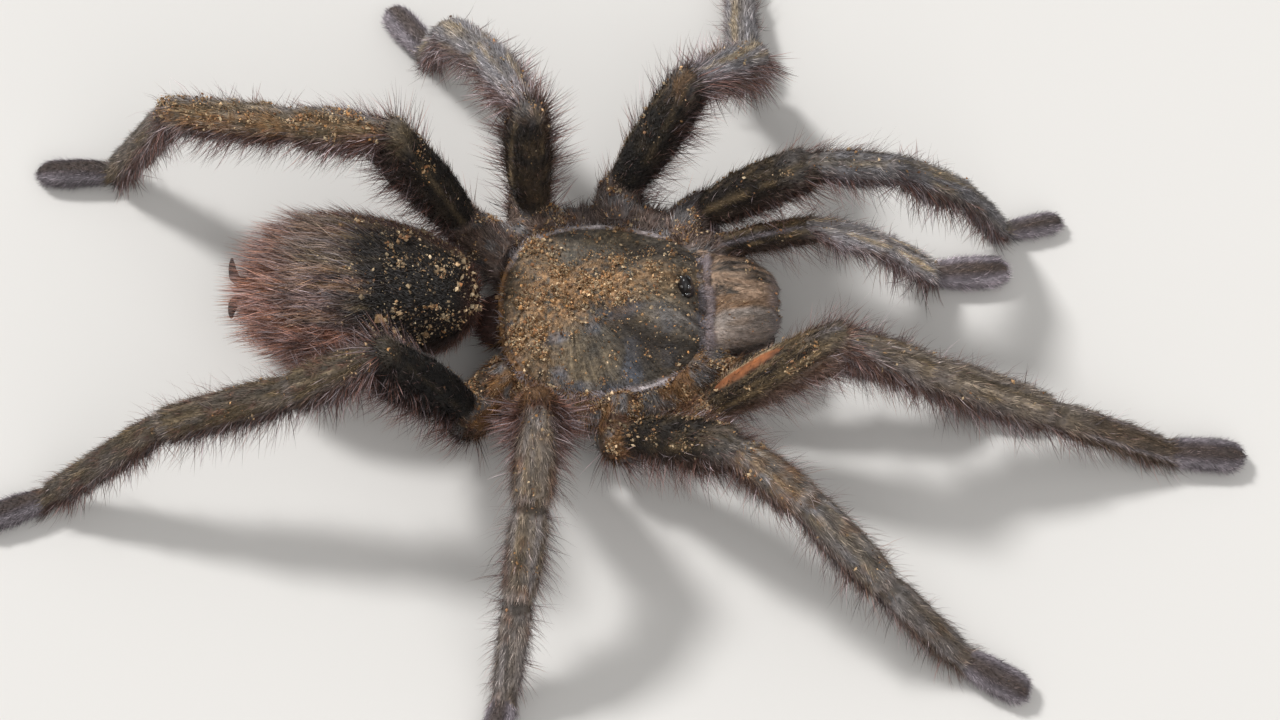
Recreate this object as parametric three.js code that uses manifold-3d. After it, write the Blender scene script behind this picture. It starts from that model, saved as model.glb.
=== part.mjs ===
// A life-size, still tarantula standing on a level floor, one solid for each part of its body.
// Millimetres. +X points the way the animal faces, +Y to its left, +Z up, and the floor is Z = 0.
// The solids reach out to the dense coat of hair; the thin gaps between them follow its real joints.
import * as THREE from 'three';
import { mergeVertices } from 'three/addons/utils/BufferGeometryUtils.js';
import Module from 'manifold-3d';

const wasm = await Module();
wasm.setup();

// ---------------------------------------------------------------- driving dimensions

const GAP = 0.3;                       // between one solid and the next
const MERGE_WITHIN = 1e-5;             // points closer than this are one point
const DEGREE = Math.PI / 180;
const SKYWARD = new THREE.Vector3(0, 0, 1);

// The head-and-thorax: a domed carapace over a flat sternum, its centre at X = 0.
const CARAPACE = {
  length: 18, width: 17.8,             // rim to rim
  underside: 5.4, rim: 5.9,            // heights above the floor
  dome: 2.4,                           // rise of the thorax above the rim
  headRise: 2.5, headHalfWidth: 4.2,   // the raised head region in front
  frontTaper: 0.06,                    // how much narrower the front is than the back
  squareness: { front: 3.1, rear: 2.5 },   // 2 is an ellipse, more is boxier
};
const STERNUM = { centre: [0.2, 0, 3.6], half: [6.6, 4.6, 1.35] };
const COXA_ROOT_HEIGHT = 3.7;
const COXA_HALF = { leg: 2.4, palp: 1.6 };   // half thickness
const HIP_HEIGHT = 5.2;
const EYE_MOUND = { x: 7.6, y: 0.5, sunk: 0.1, half: [0.95, 1.15, 1.45], gap: 0.15 };

// The jaws: two stout basal segments side by side, each with a fang folded under it.
const CHELICERA = {
  root: [9.35, 2.45, 5.5], bend: [13.2, 2.35, 5.7], tip: [15.7, 1.95, 4.1],
  width: 2.3, dorsal: 3.1, ventral: 2.9,
};
const HEAD_SWING = 0.3;                // jaws and fangs stand this far to the left of the body's line
const FANG = { root: [15.0, 1.9, 2.8], bend: [14.6, 1.6, 1.2], tip: [10.8, 1.3, 1.4], thickness: 0.75 };

// The abdomen swings a little to the left of the body's own line.
const PEDICEL = { front: [-7.2, 0, 4.0], back: [-10.3, 0.1, 4.4], thickness: 1.0 };
const ABDOMEN = {
  front: [-9.7, 0.15, 7.7], back: [-30.3, 2.4, 7.3],
  width: 7.5, dorsal: 6.4, ventral: 5.9,
};
const SPINNERET = {
  root: [-31.0, 0.5, 6.6], bend: [-32.4, 1.3, 6.8], tip: [-31.8, 3.3, 7.1],
  thickness: 0.65,
};

// The feet: the axis of a tarsus runs from the ankle to the toe just above the floor, and its sole
// is cut off level at the floor.
const ANKLE_HEIGHT = 1.6;
const TOE_HEIGHT = 1.1;

// Hips, and the lengths of femur, patella, tibia, metatarsus and tarsus (a palp has no metatarsus).
// Half thicknesses go with them: across, up and down.
const LIMBS = {
  1: {
    hip: [9.2, 9.6], coxaRoot: [4.2, 2.6], lengths: [14.8, 8.9, 11.6, 10.8, 7.3],
    across: [2.4, 2.2, 2.2, 1.8, 1.75], up: [2.7, 2.1, 2.1, 1.7, 1.2], down: [2.8, 2.3, 2.4, 1.9, 1.65],
  },
  2: {
    hip: [2.2, 12.0], coxaRoot: [1.4, 3.2], lengths: [13.0, 8.0, 9.8, 9.3, 6.8],
    across: [2.35, 2.2, 2.15, 1.8, 1.75], up: [2.4, 2.1, 2.0, 1.7, 1.2], down: [3.2, 2.4, 2.4, 1.9, 1.65],
  },
  3: {
    hip: [-5.3, 10.4], coxaRoot: [-1.6, 3.2], lengths: [11.6, 7.4, 8.3, 8.8, 6.4],
    across: [2.35, 2.15, 2.0, 1.7, 1.6], up: [2.7, 2.4, 1.9, 1.6, 1.2], down: [3.0, 2.3, 2.3, 1.8, 1.65],
  },
  4: {
    hip: [-11.2, 9.2], coxaRoot: [-4.2, 2.4], lengths: [14.6, 8.0, 12.3, 13.4, 7.2],
    across: [2.3, 2.2, 2.1, 1.75, 1.5], up: [2.7, 2.4, 2.0, 1.7, 1.2], down: [3.1, 2.4, 2.4, 1.9, 1.65],
  },
  palp: {
    hip: [10.2, 6.2], coxaRoot: [5.6, 1.6], lengths: [10.4, 6.2, 7.5, 7.1],
    across: [1.5, 1.65, 1.6, 1.75], up: [1.8, 1.7, 1.6, 1.2], down: [1.8, 1.7, 1.7, 1.65],
  },
};
const LEG_LENGTHS = ['femur', 'patella', 'tibia', 'metatarsus', 'tarsus'];
const PALP_LENGTHS = ['femur', 'patella', 'tibia', 'tarsus'];

// The stance. heading turns each length from +X towards +Y, in degrees; pitch lifts the femur,
// patella and (on a leg) tibia. The last two lengths come down to the ankle and the toe.
// The left front leg is a regrown one: shorter and thinner than the right.
const REGROWN = [0.95, 0.86, 0.82, 0.82, 0.78];
const STANCE = [
  { name: 'right_leg_1', limb: 1, side: -1, heading: [4, -6, -10, -10, -4], pitch: [38, -28, -23] },
  { name: 'right_leg_2', limb: 2, side: -1, heading: [-33, -39, -39, -35, -32], pitch: [35, -6, -32] },
  { name: 'right_leg_3', limb: 3, side: -1, heading: [-90, -96, -102, -103, -103], pitch: [62, -17, -38] },
  { name: 'right_leg_4', limb: 4, side: -1, heading: [-166, -173, -176, -169, -161], pitch: [57, -23, -20] },
  { name: 'left_leg_1', limb: 1, side: 1, heading: [-7, -8, 10, 18, 12], pitch: [46, 6, -46],
    scale: REGROWN },
  { name: 'left_leg_2', limb: 2, side: 1, heading: [37, 43, 90, 90, 90], pitch: [51, -26, -61] },
  { name: 'left_leg_3', limb: 3, side: 1, heading: [99, 115, 121, 124, 126], pitch: [69, -12, -36] },
  { name: 'left_leg_4', limb: 4, side: 1, heading: [167, 166, 161, 166, 178], pitch: [61, -5, -18] },
  { name: 'right_palp', limb: 'palp', side: -1, heading: [1, -8, -8, -8], pitch: [8, -4] },
  { name: 'left_palp', limb: 'palp', side: 1, heading: [-6, -2, 3, 3], pitch: [27, -25] },
];

// Turned profiles, root to tip: [share of the half thickness, share of the length].
const PROFILES = {
  coxa: [[0, 0], [0.7, 0], [1, 0.4], [0.85, 1], [0, 1]],
  femur: [[0, 0], [0.62, 0], [0.84, 0.18], [1, 0.45], [1, 0.8], [0.88, 1], [0, 1]],
  patella: [[0, 0], [0.82, 0], [1, 0.4], [0.98, 0.75], [0.84, 1], [0, 1]],
  tibia: [[0, 0], [0.84, 0], [1, 0.28], [0.97, 0.75], [0.86, 1], [0, 1]],
  metatarsus: [[0, 0], [0.9, 0], [1, 0.25], [0.93, 0.75], [0.84, 1], [0, 1]],
  tarsus: [[0, 0], [0.78, 0], [0.96, 0.3], [1, 0.58], [0.95, 0.84], [0.6, 0.97], [0, 1]],
  pedicel: [[0, 0], [1, 0], [1, 1], [0, 1]],
  chelicera: [[0, 0], [0.86, 0], [1, 0.22], [1, 0.5], [0.86, 0.76], [0.55, 0.94], [0, 1]],
  fang: [[0, 0], [1, 0], [0.8, 0.3], [0.5, 0.7], [0.16, 0.97], [0, 1]],
  spinneret: [[0, 0], [0.9, 0], [1, 0.4], [0.8, 0.8], [0.4, 0.97], [0, 1]],
  abdomen: [[0, 0], [0.34, 0.025], [0.62, 0.11], [0.83, 0.26], [0.96, 0.44], [1, 0.6], [0.93, 0.78],
    [0.72, 0.91], [0.4, 0.98], [0, 1]],
};
const SIDES = { limb: 10, coxa: 8, small: 8, chelicera: 12, abdomen: 18, carapace: 24 };

// ---------------------------------------------------------------- materials

const finish = (color, roughness) => new THREE.MeshStandardMaterial({ color, roughness, metalness: 0 });
const FINISHES = {
  carapace: finish(0x6e5a45, 0.7),
  eyes: finish(0x0c0d10, 0.1),
  velvet: finish(0x2e261f, 0.9),
  pile: finish(0x6c6058, 0.9),
  scopula: finish(0x6f6a78, 0.9),
  belly: finish(0x4a3a31, 0.9),
  jaw: finish(0x77685f, 0.85),
  horn: finish(0x17100d, 0.25),
};

// ---------------------------------------------------------------- closed forms

// A closed geometry with one point at each place and no collapsed triangles.
function closed(geometry) {
  geometry.deleteAttribute('normal');
  geometry.deleteAttribute('uv');
  const merged = mergeVertices(geometry, MERGE_WITHIN);
  const corners = merged.index.array;
  const kept = [];
  for (let i = 0; i < corners.length; i += 3) {
    const [a, b, c] = corners.slice(i, i + 3);
    if (a !== b && b !== c && c !== a) kept.push(a, b, c);
  }
  merged.setIndex(kept);
  return merged;
}

// Moves every point of a geometry: place changes the point it is given.
function reshape(geometry, place) {
  const position = geometry.attributes.position;
  const point = new THREE.Vector3();
  for (let i = 0; i < position.count; i += 1) {
    point.fromBufferAttribute(position, i);
    place(point);
    position.setXYZ(i, point.x, point.y, point.z);
  }
  geometry.computeVertexNormals();
  return geometry;
}

// A lathe form of radius 1 whose height runs from 0 to 1, with a flat between two sides underneath.
function lathe(profile, sides) {
  const outline = profile.map(([radius, height]) => new THREE.Vector2(radius, height));
  return closed(new THREE.LatheGeometry(outline, sides, Math.PI / sides));
}

// The amount that a point slides along the axis to lie on a joint's mitre plane, half a gap clear.
function slideTo(plane, offset, along, clearance) {
  return plane ? (clearance - offset.dot(plane)) / along.dot(plane) : 0;
}

// A form turned along a curve, with its own half thickness across, up and down. The ends slide onto
// the planes startPlane and endPlane (their normals point along the limb). bow lifts its middle.
function turned({ curve, profile, sides, across, up, down, startPlane, endPlane, bow = 0 }) {
  return reshape(lathe(profile, sides), (point) => {
    const share = point.y;
    const centre = curve.getPoint(share);
    const along = curve.getTangent(share);
    const sideways = along.clone().cross(SKYWARD).normalize();
    const upwards = sideways.clone().cross(along);
    const offset = sideways.multiplyScalar(point.x * across)
      .addScaledVector(upwards, point.z * (point.z > 0 ? up : down));
    const slide = slideTo(startPlane, offset, along, GAP / 2) * (1 - share)
      + slideTo(endPlane, offset, along, -GAP / 2) * share;
    point.copy(centre).add(offset).addScaledVector(along, slide)
      .addScaledVector(upwards, 4 * bow * share * (1 - share));
  });
}

function solidOf(geometry) {
  const vertProperties = new Float32Array(geometry.attributes.position.array);
  const triVerts = new Uint32Array(geometry.index.array);
  return new wasm.Manifold(new wasm.Mesh({ numProp: 3, vertProperties, triVerts }));
}

function geometryOf(solid) {
  const { vertProperties, triVerts } = solid.getMesh();
  const geometry = new THREE.BufferGeometry();
  geometry.setAttribute('position', new THREE.BufferAttribute(new Float32Array(vertProperties), 3));
  geometry.setIndex([...triVerts]);
  geometry.computeVertexNormals();
  return geometry;
}

const vector = ([x, y, z], side = 1, swing = 0) => new THREE.Vector3(x, side * y + swing, z);
const bentLine = (form, side = 1, swing = 0) => new THREE.QuadraticBezierCurve3(
  vector(form.root, side, swing), vector(form.bend, side, swing), vector(form.tip, side, swing));

const model = new THREE.Group();

function addPart(name, geometry, material) {
  const mesh = new THREE.Mesh(geometry, material);
  mesh.name = name;
  model.add(mesh);
}

// ---------------------------------------------------------------- limbs

// The joints of one limb, hip to toe.
function jointsOf({ limb, side, heading, pitch, scale }) {
  const { hip, lengths } = LIMBS[limb];
  const joints = [new THREE.Vector3(hip[0], side * hip[1], HIP_HEIGHT)];
  lengths.forEach((full, i) => {
    const length = full * (scale ? scale[i] : 1);
    const from = joints[i];
    const landing = (i === lengths.length - 2 ? ANKLE_HEIGHT : TOE_HEIGHT) * (scale ? scale.at(-1) : 1);
    const lift = i < pitch.length ? pitch[i] * DEGREE : Math.asin((landing - from.z) / length);
    const turn = heading[i] * DEGREE;
    const step = new THREE.Vector3(
      Math.cos(lift) * Math.cos(turn), Math.cos(lift) * Math.sin(turn), Math.sin(lift));
    joints.push(from.clone().addScaledVector(step, length));
  });
  return joints;
}

const directionOf = (from, to) => to.clone().sub(from).normalize();
const mitre = (one, other) => one.clone().add(other).normalize();
const FEMUR_BOW = 0.35;

// What would reach below the floor is flattened onto it.
function levelSole(point) {
  point.z = Math.max(point.z, 0);
}

// One limb's lengths as geometries, and the coxa that carries it.
function limbForms(stance) {
  const shape = LIMBS[stance.limb];
  const names = stance.limb === 'palp' ? PALP_LENGTHS : LEG_LENGTHS;
  const thin = stance.scale ? stance.scale : names.map(() => 1);
  const joints = jointsOf(stance);
  const root = new THREE.Vector3(shape.coxaRoot[0], stance.side * shape.coxaRoot[1], COXA_ROOT_HEIGHT);
  const stops = [root, ...joints];
  const directions = stops.slice(1).map((stop, i) => directionOf(stops[i], stop));
  const planes = directions.slice(1).map((direction, i) => mitre(directions[i], direction));
  const coxaHalf = stance.limb === 'palp' ? COXA_HALF.palp : COXA_HALF.leg;
  const coxa = turned({
    curve: new THREE.LineCurve3(root, joints[0]), profile: PROFILES.coxa, sides: SIDES.coxa,
    across: coxaHalf, up: coxaHalf, down: coxaHalf, endPlane: planes[0],
  });
  const lengths = names.map((name, i) => {
    const form = turned({
      curve: new THREE.LineCurve3(joints[i], joints[i + 1]), profile: PROFILES[name], sides: SIDES.limb,
      across: shape.across[i] * thin[i], up: shape.up[i] * thin[i], down: shape.down[i] * thin[i],
      startPlane: planes[i], endPlane: planes[i + 1], bow: name === 'femur' ? FEMUR_BOW : 0,
    });
    const geometry = name === 'tarsus' ? reshape(form, levelSole) : form;
    return { name: `${stance.name}_${name}`, geometry };
  });
  return { coxa, lengths };
}

const COATS = { femur: 'velvet', patella: 'pile', tibia: 'pile', metatarsus: 'pile', tarsus: 'scopula' };
const coxae = [];
for (const stance of STANCE) {
  const { coxa, lengths } = limbForms(stance);
  coxae.push(coxa);
  for (const { name, geometry } of lengths) {
    addPart(name, geometry, FINISHES[COATS[name.split('_').pop()]]);
  }
}

// ---------------------------------------------------------------- head and thorax

// The height of the carapace above its rim: a low dome, and a head region that rises in front and
// drops steeply at the front and sides. reach is 0 at the crown and 1 at the rim.
function crown(x, y, reach) {
  const dome = CARAPACE.dome * (1 - reach ** 2) ** 0.8;
  const forward = THREE.MathUtils.smoothstep(x, -3.5, 3.5);
  const sideways = Math.exp(-((y / CARAPACE.headHalfWidth) ** 4));
  return dome + CARAPACE.headRise * forward * sideways * (1 - reach ** 7);
}

// The carapace, or with grow a copy that is larger all round, for cutting its neighbours clear.
function carapaceForm(grow = 0) {
  const tops = [1, 0.9, 0.75, 0.55, 0.3, 0].map((reach) => [reach, 1]);
  const halfLength = CARAPACE.length / 2 + grow;
  const halfWidth = CARAPACE.width / 2 + grow;
  return reshape(lathe([[0, 0], [1, 0], ...tops], SIDES.carapace), (point) => {
    const reach = Math.min(Math.hypot(point.x, point.z), 1);
    const ahead = reach ? point.z / reach : 0;
    const aside = reach ? point.x / reach : 0;
    const power = 2 / (ahead > 0 ? CARAPACE.squareness.front : CARAPACE.squareness.rear);
    const x = halfLength * reach * Math.sign(ahead) * Math.abs(ahead) ** power;
    const taper = 1 - CARAPACE.frontTaper * ahead;
    const y = halfWidth * reach * Math.sign(aside) * Math.abs(aside) ** power * taper;
    const top = CARAPACE.rim + crown(x, y, reach) + grow;
    point.set(x, y, point.y > 0.5 ? top : CARAPACE.underside - grow);
  });
}

addPart('carapace', carapaceForm(), FINISHES.carapace);

// An egg of the given centre and half sizes.
function ball(centre, half, around, down) {
  return reshape(closed(new THREE.SphereGeometry(1, around, down)), (point) => {
    point.set(centre[0] + half[0] * point.x, centre[1] + half[1] * point.y, centre[2] + half[2] * point.z);
  });
}

// The mound that carries the eyes, sitting on the front of the head region.
const eyeReach = EYE_MOUND.x / (CARAPACE.length / 2);
const eyeHeight = CARAPACE.rim + crown(EYE_MOUND.x, 0, eyeReach) - EYE_MOUND.sunk;
const eyeMound = solidOf(ball([EYE_MOUND.x, EYE_MOUND.y, eyeHeight], EYE_MOUND.half, 12, 8))
  .subtract(solidOf(carapaceForm(EYE_MOUND.gap)));
addPart('eye_mound', geometryOf(eyeMound), FINISHES.eyes);

// One jaw segment, or with grow a larger copy for cutting its neighbours clear.
function jawForm(side, grow = 0) {
  return turned({
    curve: bentLine(CHELICERA, side, HEAD_SWING), profile: PROFILES.chelicera, sides: SIDES.chelicera,
    across: CHELICERA.width + grow, up: CHELICERA.dorsal + grow, down: CHELICERA.ventral + grow,
  });
}

const SIDE_NAMES = [['right', -1], ['left', 1]];
for (const [name, side] of SIDE_NAMES) {
  const fang = turned({
    curve: bentLine(FANG, side, HEAD_SWING), profile: PROFILES.fang, sides: SIDES.small,
    across: FANG.thickness, up: FANG.thickness, down: FANG.thickness,
  });
  addPart(`chelicera_${name}`, jawForm(side), FINISHES.jaw);
  addPart(`fang_${name}`, geometryOf(solidOf(fang).subtract(solidOf(jawForm(side, GAP)))), FINISHES.horn);
}

// The sternum with the ten coxae that spread from it, kept clear of the carapace and the jaws.
const sternum = solidOf(ball(STERNUM.centre, STERNUM.half, 16, 8));
const spread = coxae.reduce((body, coxa) => body.add(solidOf(coxa)), sternum);
const neighbours = [carapaceForm(GAP), jawForm(-1, GAP), jawForm(1, GAP)];
const underbody = neighbours.reduce((body, form) => body.subtract(solidOf(form)), spread);
addPart('sternum_and_coxae', geometryOf(underbody), FINISHES.belly);

// ---------------------------------------------------------------- waist and abdomen

addPart('pedicel', turned({
  curve: new THREE.LineCurve3(vector(PEDICEL.front), vector(PEDICEL.back)), profile: PROFILES.pedicel,
  sides: SIDES.small, across: PEDICEL.thickness, up: PEDICEL.thickness, down: PEDICEL.thickness,
}), FINISHES.belly);

addPart('abdomen', turned({
  curve: new THREE.LineCurve3(vector(ABDOMEN.front), vector(ABDOMEN.back)), profile: PROFILES.abdomen,
  sides: SIDES.abdomen, across: ABDOMEN.width, up: ABDOMEN.dorsal, down: ABDOMEN.ventral,
}), FINISHES.velvet);

// The two long spinnerets curl away from each other behind the abdomen's tip.
for (const [name, side] of SIDE_NAMES) {
  addPart(`spinneret_${name}`, turned({
    curve: bentLine(SPINNERET, side, ABDOMEN.back[1]), profile: PROFILES.spinneret, sides: SIDES.small,
    across: SPINNERET.thickness, up: SPINNERET.thickness, down: SPINNERET.thickness,
  }), FINISHES.horn);
}

// ---------------------------------------------------------------- the whole, centred over the floor

const extent = new THREE.Box3().setFromObject(model);
const middle = extent.getCenter(new THREE.Vector3());
model.position.set(-middle.x, -middle.y, -extent.min.z);
const group = new THREE.Group();
group.add(model);
group.updateMatrixWorld(true);

export default group;
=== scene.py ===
# %% [markdown]
# # A walking tarantula
# A ground-living tarantula is a soft body in a stiff skin, and nearly all of it is hidden by hair: short
# velvet on the thighs, a grey pile on the outer legs, long stray bristles everywhere, and dense brushes under
# the feet. The solids already give the pose and the outline, so this script adds what they leave out: one
# seamless skin, the shield with its furrows, the eyes, fangs and claws, the hair, and the dust that clings to
# it.

# %% Load the solids
import bmesh
import bpy
import math
import numpy as np
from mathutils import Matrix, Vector


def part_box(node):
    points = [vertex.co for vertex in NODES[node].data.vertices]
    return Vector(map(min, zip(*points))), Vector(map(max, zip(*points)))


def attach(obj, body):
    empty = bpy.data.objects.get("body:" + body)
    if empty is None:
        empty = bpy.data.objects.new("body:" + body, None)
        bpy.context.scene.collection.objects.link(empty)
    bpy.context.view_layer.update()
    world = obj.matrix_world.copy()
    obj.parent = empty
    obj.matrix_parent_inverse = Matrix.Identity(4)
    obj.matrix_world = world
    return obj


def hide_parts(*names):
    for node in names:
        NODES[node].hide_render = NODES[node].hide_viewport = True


MM = 0.001
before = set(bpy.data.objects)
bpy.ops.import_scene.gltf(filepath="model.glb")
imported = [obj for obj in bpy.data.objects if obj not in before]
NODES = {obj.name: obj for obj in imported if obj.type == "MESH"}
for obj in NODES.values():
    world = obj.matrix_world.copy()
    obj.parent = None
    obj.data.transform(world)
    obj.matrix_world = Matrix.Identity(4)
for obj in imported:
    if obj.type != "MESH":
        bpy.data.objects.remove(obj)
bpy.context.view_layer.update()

# %% [markdown]
# ## Where each bone-like length runs
# A spider has no bones, but each leg is a row of straight lengths. For every solid the main axis is the
# direction in which its points spread furthest (the first singular vector). The joints are the middles
# between the end of one length and the start of the next. Every later step asks these axes where it is and
# which way the hair lies there.

# %% Measure the axes of the lengths
LEG = ("femur", "patella", "tibia", "metatarsus", "tarsus")
PALP = ("femur", "patella", "tibia", "tarsus")
LIMBS = [(f"{side}_leg_{number}", LEG) for side in ("right", "left") for number in (1, 2, 3, 4)]
LIMBS += [(f"{side}_palp", PALP) for side in ("right", "left")]


def points_of(name):
    """The places of a solid's points, one row each."""
    mesh = NODES[name].data
    flat = np.empty(len(mesh.vertices) * 3)
    mesh.vertices.foreach_get("co", flat)
    return flat.reshape(-1, 3)


def ends_of(name, near):
    """The two ends of a solid on its main axis, the one closest to near first, and its mean half
    thickness."""
    points = np.unique(points_of(name).round(7), axis=0)
    middle = (points.max(0) + points.min(0)) / 2
    axis = np.linalg.svd(points - points.mean(0), full_matrices=False)[2][0]
    along = (points - middle) @ axis
    low, high = points[along < along.min() + 1.2 * MM].mean(0), points[along > along.max() - 1.2 * MM].mean(0)
    away = np.linalg.norm(points - middle - along[:, None] * axis, axis=1)
    start, end = (low, high) if np.linalg.norm(low - near) < np.linalg.norm(high - near) else (high, low)
    return start, end, away[away > 0.4 * away.max()].mean()


PARTS = []          # name, kind, limb, start, end, half thickness


def add_part(name, kind, limb, start, end, half):
    PARTS.append((name, kind, limb, np.array(start, float), np.array(end, float), half))


for limb, lengths in LIMBS:
    measured, near = [], np.zeros(3)
    for length in lengths:
        measured.append(ends_of(f"{limb}_{length}", near))
        near = measured[-1][1]
    joints = [measured[0][0]] + [(one[1] + other[0]) / 2 for one, other in zip(measured, measured[1:])]
    joints.append(measured[-1][1])
    for i, length in enumerate(lengths):
        add_part(f"{limb}_{length}", length, limb, joints[i], joints[i + 1], measured[i][2])
    inner = joints[0] * [0.42, 0.3, 0] + [0, 0, 3.7 * MM]
    add_part(f"{limb}_coxa", "coxa", limb, inner, joints[0], 1.9 * MM)
print("limb lengths measured:", len(PARTS))

# %% Measure the axes of the body
for side in ("right", "left"):
    for name in ("chelicera", "spinneret"):
        start, end, half = ends_of(f"{name}_{side}", np.array([0, 0, 5 * MM]))
        add_part(f"{name}_{side}", name, side, start, end, half)
for name in ("pedicel", "abdomen"):
    start, end, half = ends_of(name, np.array([0, 0, 5 * MM]))
    add_part(name, name, name, start, end, half)
add_part("sternum", "sternum", "sternum", [-6 * MM, 0, 3.6 * MM], [5 * MM, 0, 3.6 * MM], 3.2 * MM)

START = np.array([part[3] for part in PARTS])
END = np.array([part[4] for part in PARTS])
HALF = np.array([part[5] for part in PARTS])
KIND = np.array([part[1] for part in PARTS])
LIMB = np.array([part[2] for part in PARTS])
AXIS = (END - START) / np.linalg.norm(END - START, axis=1)[:, None]
UP = np.array([0.0, 0.0, 1.0]) - AXIS[:, 2:] * AXIS
UP /= np.linalg.norm(UP, axis=1)[:, None]
SIDE = np.cross(AXIS, UP)
print("parts with an axis:", len(PARTS))

# %% [markdown]
# ## One skin
# The real skin runs on without a seam from the thigh over the soft joints to the foot. It could be sculpted,
# or bridged by hand from tube to tube. Here each solid of flesh is copied, drawn in by the depth of its hair,
# joined to its neighbour by a plug at the joint, and the heap is remeshed into one surface by voxels and then
# smoothed. Its outline stays close to the solids that way.

# %% Draw in the solids by the depth of the hair
HAIR_DEPTH = {"femur": 0.35, "patella": 0.35, "tibia": 0.38, "metatarsus": 0.35, "tarsus": 0.2,     # in mm
              "spinneret": 0.05, "chelicera": 0.12, "pedicel": 0.1, "abdomen": 0.5, "sternum": 0.1}
APART = ("carapace", "eye_mound", "fang_right", "fang_left")
FLESH = [name for name in NODES if name not in APART]


def kind_of(name):
    return next(kind for kind in HAIR_DEPTH if kind in name)


def drawn_in(name):
    """A copy of a solid, each point moved inwards along its normal by the depth of the hair. The roots of the
    jaws sink by up to 1.5 mm at their top, to pass under the front edge of the shield, and their outer sides
    taper."""
    shape = bmesh.new()
    shape.from_mesh(NODES[name].data)
    bmesh.ops.remove_doubles(shape, verts=shape.verts, dist=0.001 * MM)
    shape.normal_update()
    mesh = bpy.data.meshes.new("drawn_in")
    shape.to_mesh(mesh)
    shape.free()
    places, normals = np.empty(len(mesh.vertices) * 3), np.empty(len(mesh.vertices) * 3)
    mesh.vertices.foreach_get("co", places)
    mesh.vertex_normals.foreach_get("vector", normals)
    faces = np.array([tuple(face.vertices) for face in mesh.polygons])
    bpy.data.meshes.remove(mesh)
    places = places.reshape(-1, 3) - HAIR_DEPTH[kind_of(name)] * MM * normals.reshape(-1, 3)
    if "chelicera" in name:
        root = np.clip((11.2 * MM - places[:, 0]) / (2.8 * MM), 0, 1)
        places[:, 2] -= 1.5 * MM * root * np.clip((places[:, 2] - 4.5 * MM) / (3.5 * MM), 0, 1)
        tip, aside = np.clip((places[:, 0] - 11 * MM) / (4.5 * MM), 0, 1), places[:, 1] + 0.34 * MM
        places[:, 1] -= 1.3 * MM * tip ** 2 * np.sign(aside) * np.clip(np.abs(aside) / (4.5 * MM), 0, 1)
    return places, faces

# %% Plug the joints
def grid_faces(rows, columns):
    """Triangles of a grid of rows rings with columns points each, closed round, plus a fan at either pole."""
    row, column = np.meshgrid(np.arange(rows - 1), np.arange(columns), indexing="ij")
    a = row * columns + column
    b = row * columns + (column + 1) % columns
    quads = np.stack([a, b, b + columns, a, b + columns, a + columns], -1).reshape(-1, 3)
    ring = np.arange(columns)
    after = (ring + 1) % columns
    first, last = rows * columns, rows * columns + 1
    low = np.stack([np.full(columns, first), after, ring], -1)
    end = (rows - 1) * columns
    high = np.stack([np.full(columns, last), end + ring, end + after], -1)
    return np.vstack([quads, low, high])


def egg(centre, axes, rows=12, columns=20):
    """centre + cos(latitude) (cos(turn) axes[0] + sin(turn) axes[1]) + sin(latitude) axes[2], closed at both
    poles."""
    latitude = np.linspace(-np.pi / 2, np.pi / 2, rows + 2)[1:-1, None]
    turn = np.linspace(0, 2 * np.pi, columns, endpoint=False)[None, :]
    centre, axes = np.asarray(centre, float), np.asarray(axes, float)
    body = ((np.cos(latitude) * np.cos(turn))[..., None] * axes[0]
            + (np.cos(latitude) * np.sin(turn))[..., None] * axes[1])
    body = body + (np.sin(latitude) * np.ones_like(turn))[..., None] * axes[2]
    poles = np.array([-axes[2], axes[2]])
    return np.vstack([body.reshape(-1, 3), poles]) + centre, grid_faces(rows, columns)


heap = [drawn_in(name) for name in FLESH]
for i, part in enumerate(PARTS):
    if part[1] in LEG:
        hip = part[1] == "femur"
        knee = part[1] == "patella"
        girth = (1.0 if hip else 0.85) * (HALF[i] - HAIR_DEPTH[part[1]] * MM)
        # lowered at the knee, so that it stands about as high as its solids
        middle = START[i] - [0, 0, 0.8 * MM * knee]
        heap.append(egg(middle, [girth * SIDE[i], girth * UP[i], (2.8 if hip else 1.6) * MM * AXIS[i]]))
    if part[1] == "coxa":
        heap.append(egg(0.25 * START[i] + 0.75 * END[i],
                        [2.15 * MM * SIDE[i], 1.9 * MM * UP[i], 3.0 * MM * AXIS[i]]))
    if part[1] == "chelicera":
        heap.append(egg(START[i] + [0.7 * MM, 0, -0.8 * MM], np.diag([2.2, 2.0, 1.5]) * MM))
jaws = (KIND == "chelicera")
heap.append(egg(0.45 * START[jaws].mean(0) + 0.55 * END[jaws].mean(0) + [0, 0, 0.3 * MM],
                np.diag([3.4, 1.5, 1.95]) * MM))
waist = KIND == "pedicel"
heap.append(egg(0.5 * (START[waist] + END[waist])[0], np.diag([1.9, 2.7, 1.5]) * MM))
outer_hip = 0.3 * START + 0.7 * END
for side in ("right", "left"):
    for number in (1, 2, 3):
        pair = np.isin(LIMB, (f"{side}_leg_{number}", f"{side}_leg_{number + 1}")) & (KIND == "coxa")
        heap.append(egg(outer_hip[pair].mean(0), np.diag([1.9, 1.7, 1.5]) * MM))
print("forms in the heap:", len(heap))

# %% Remesh the heap into one skin
VOXEL = 0.325 * MM


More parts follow.
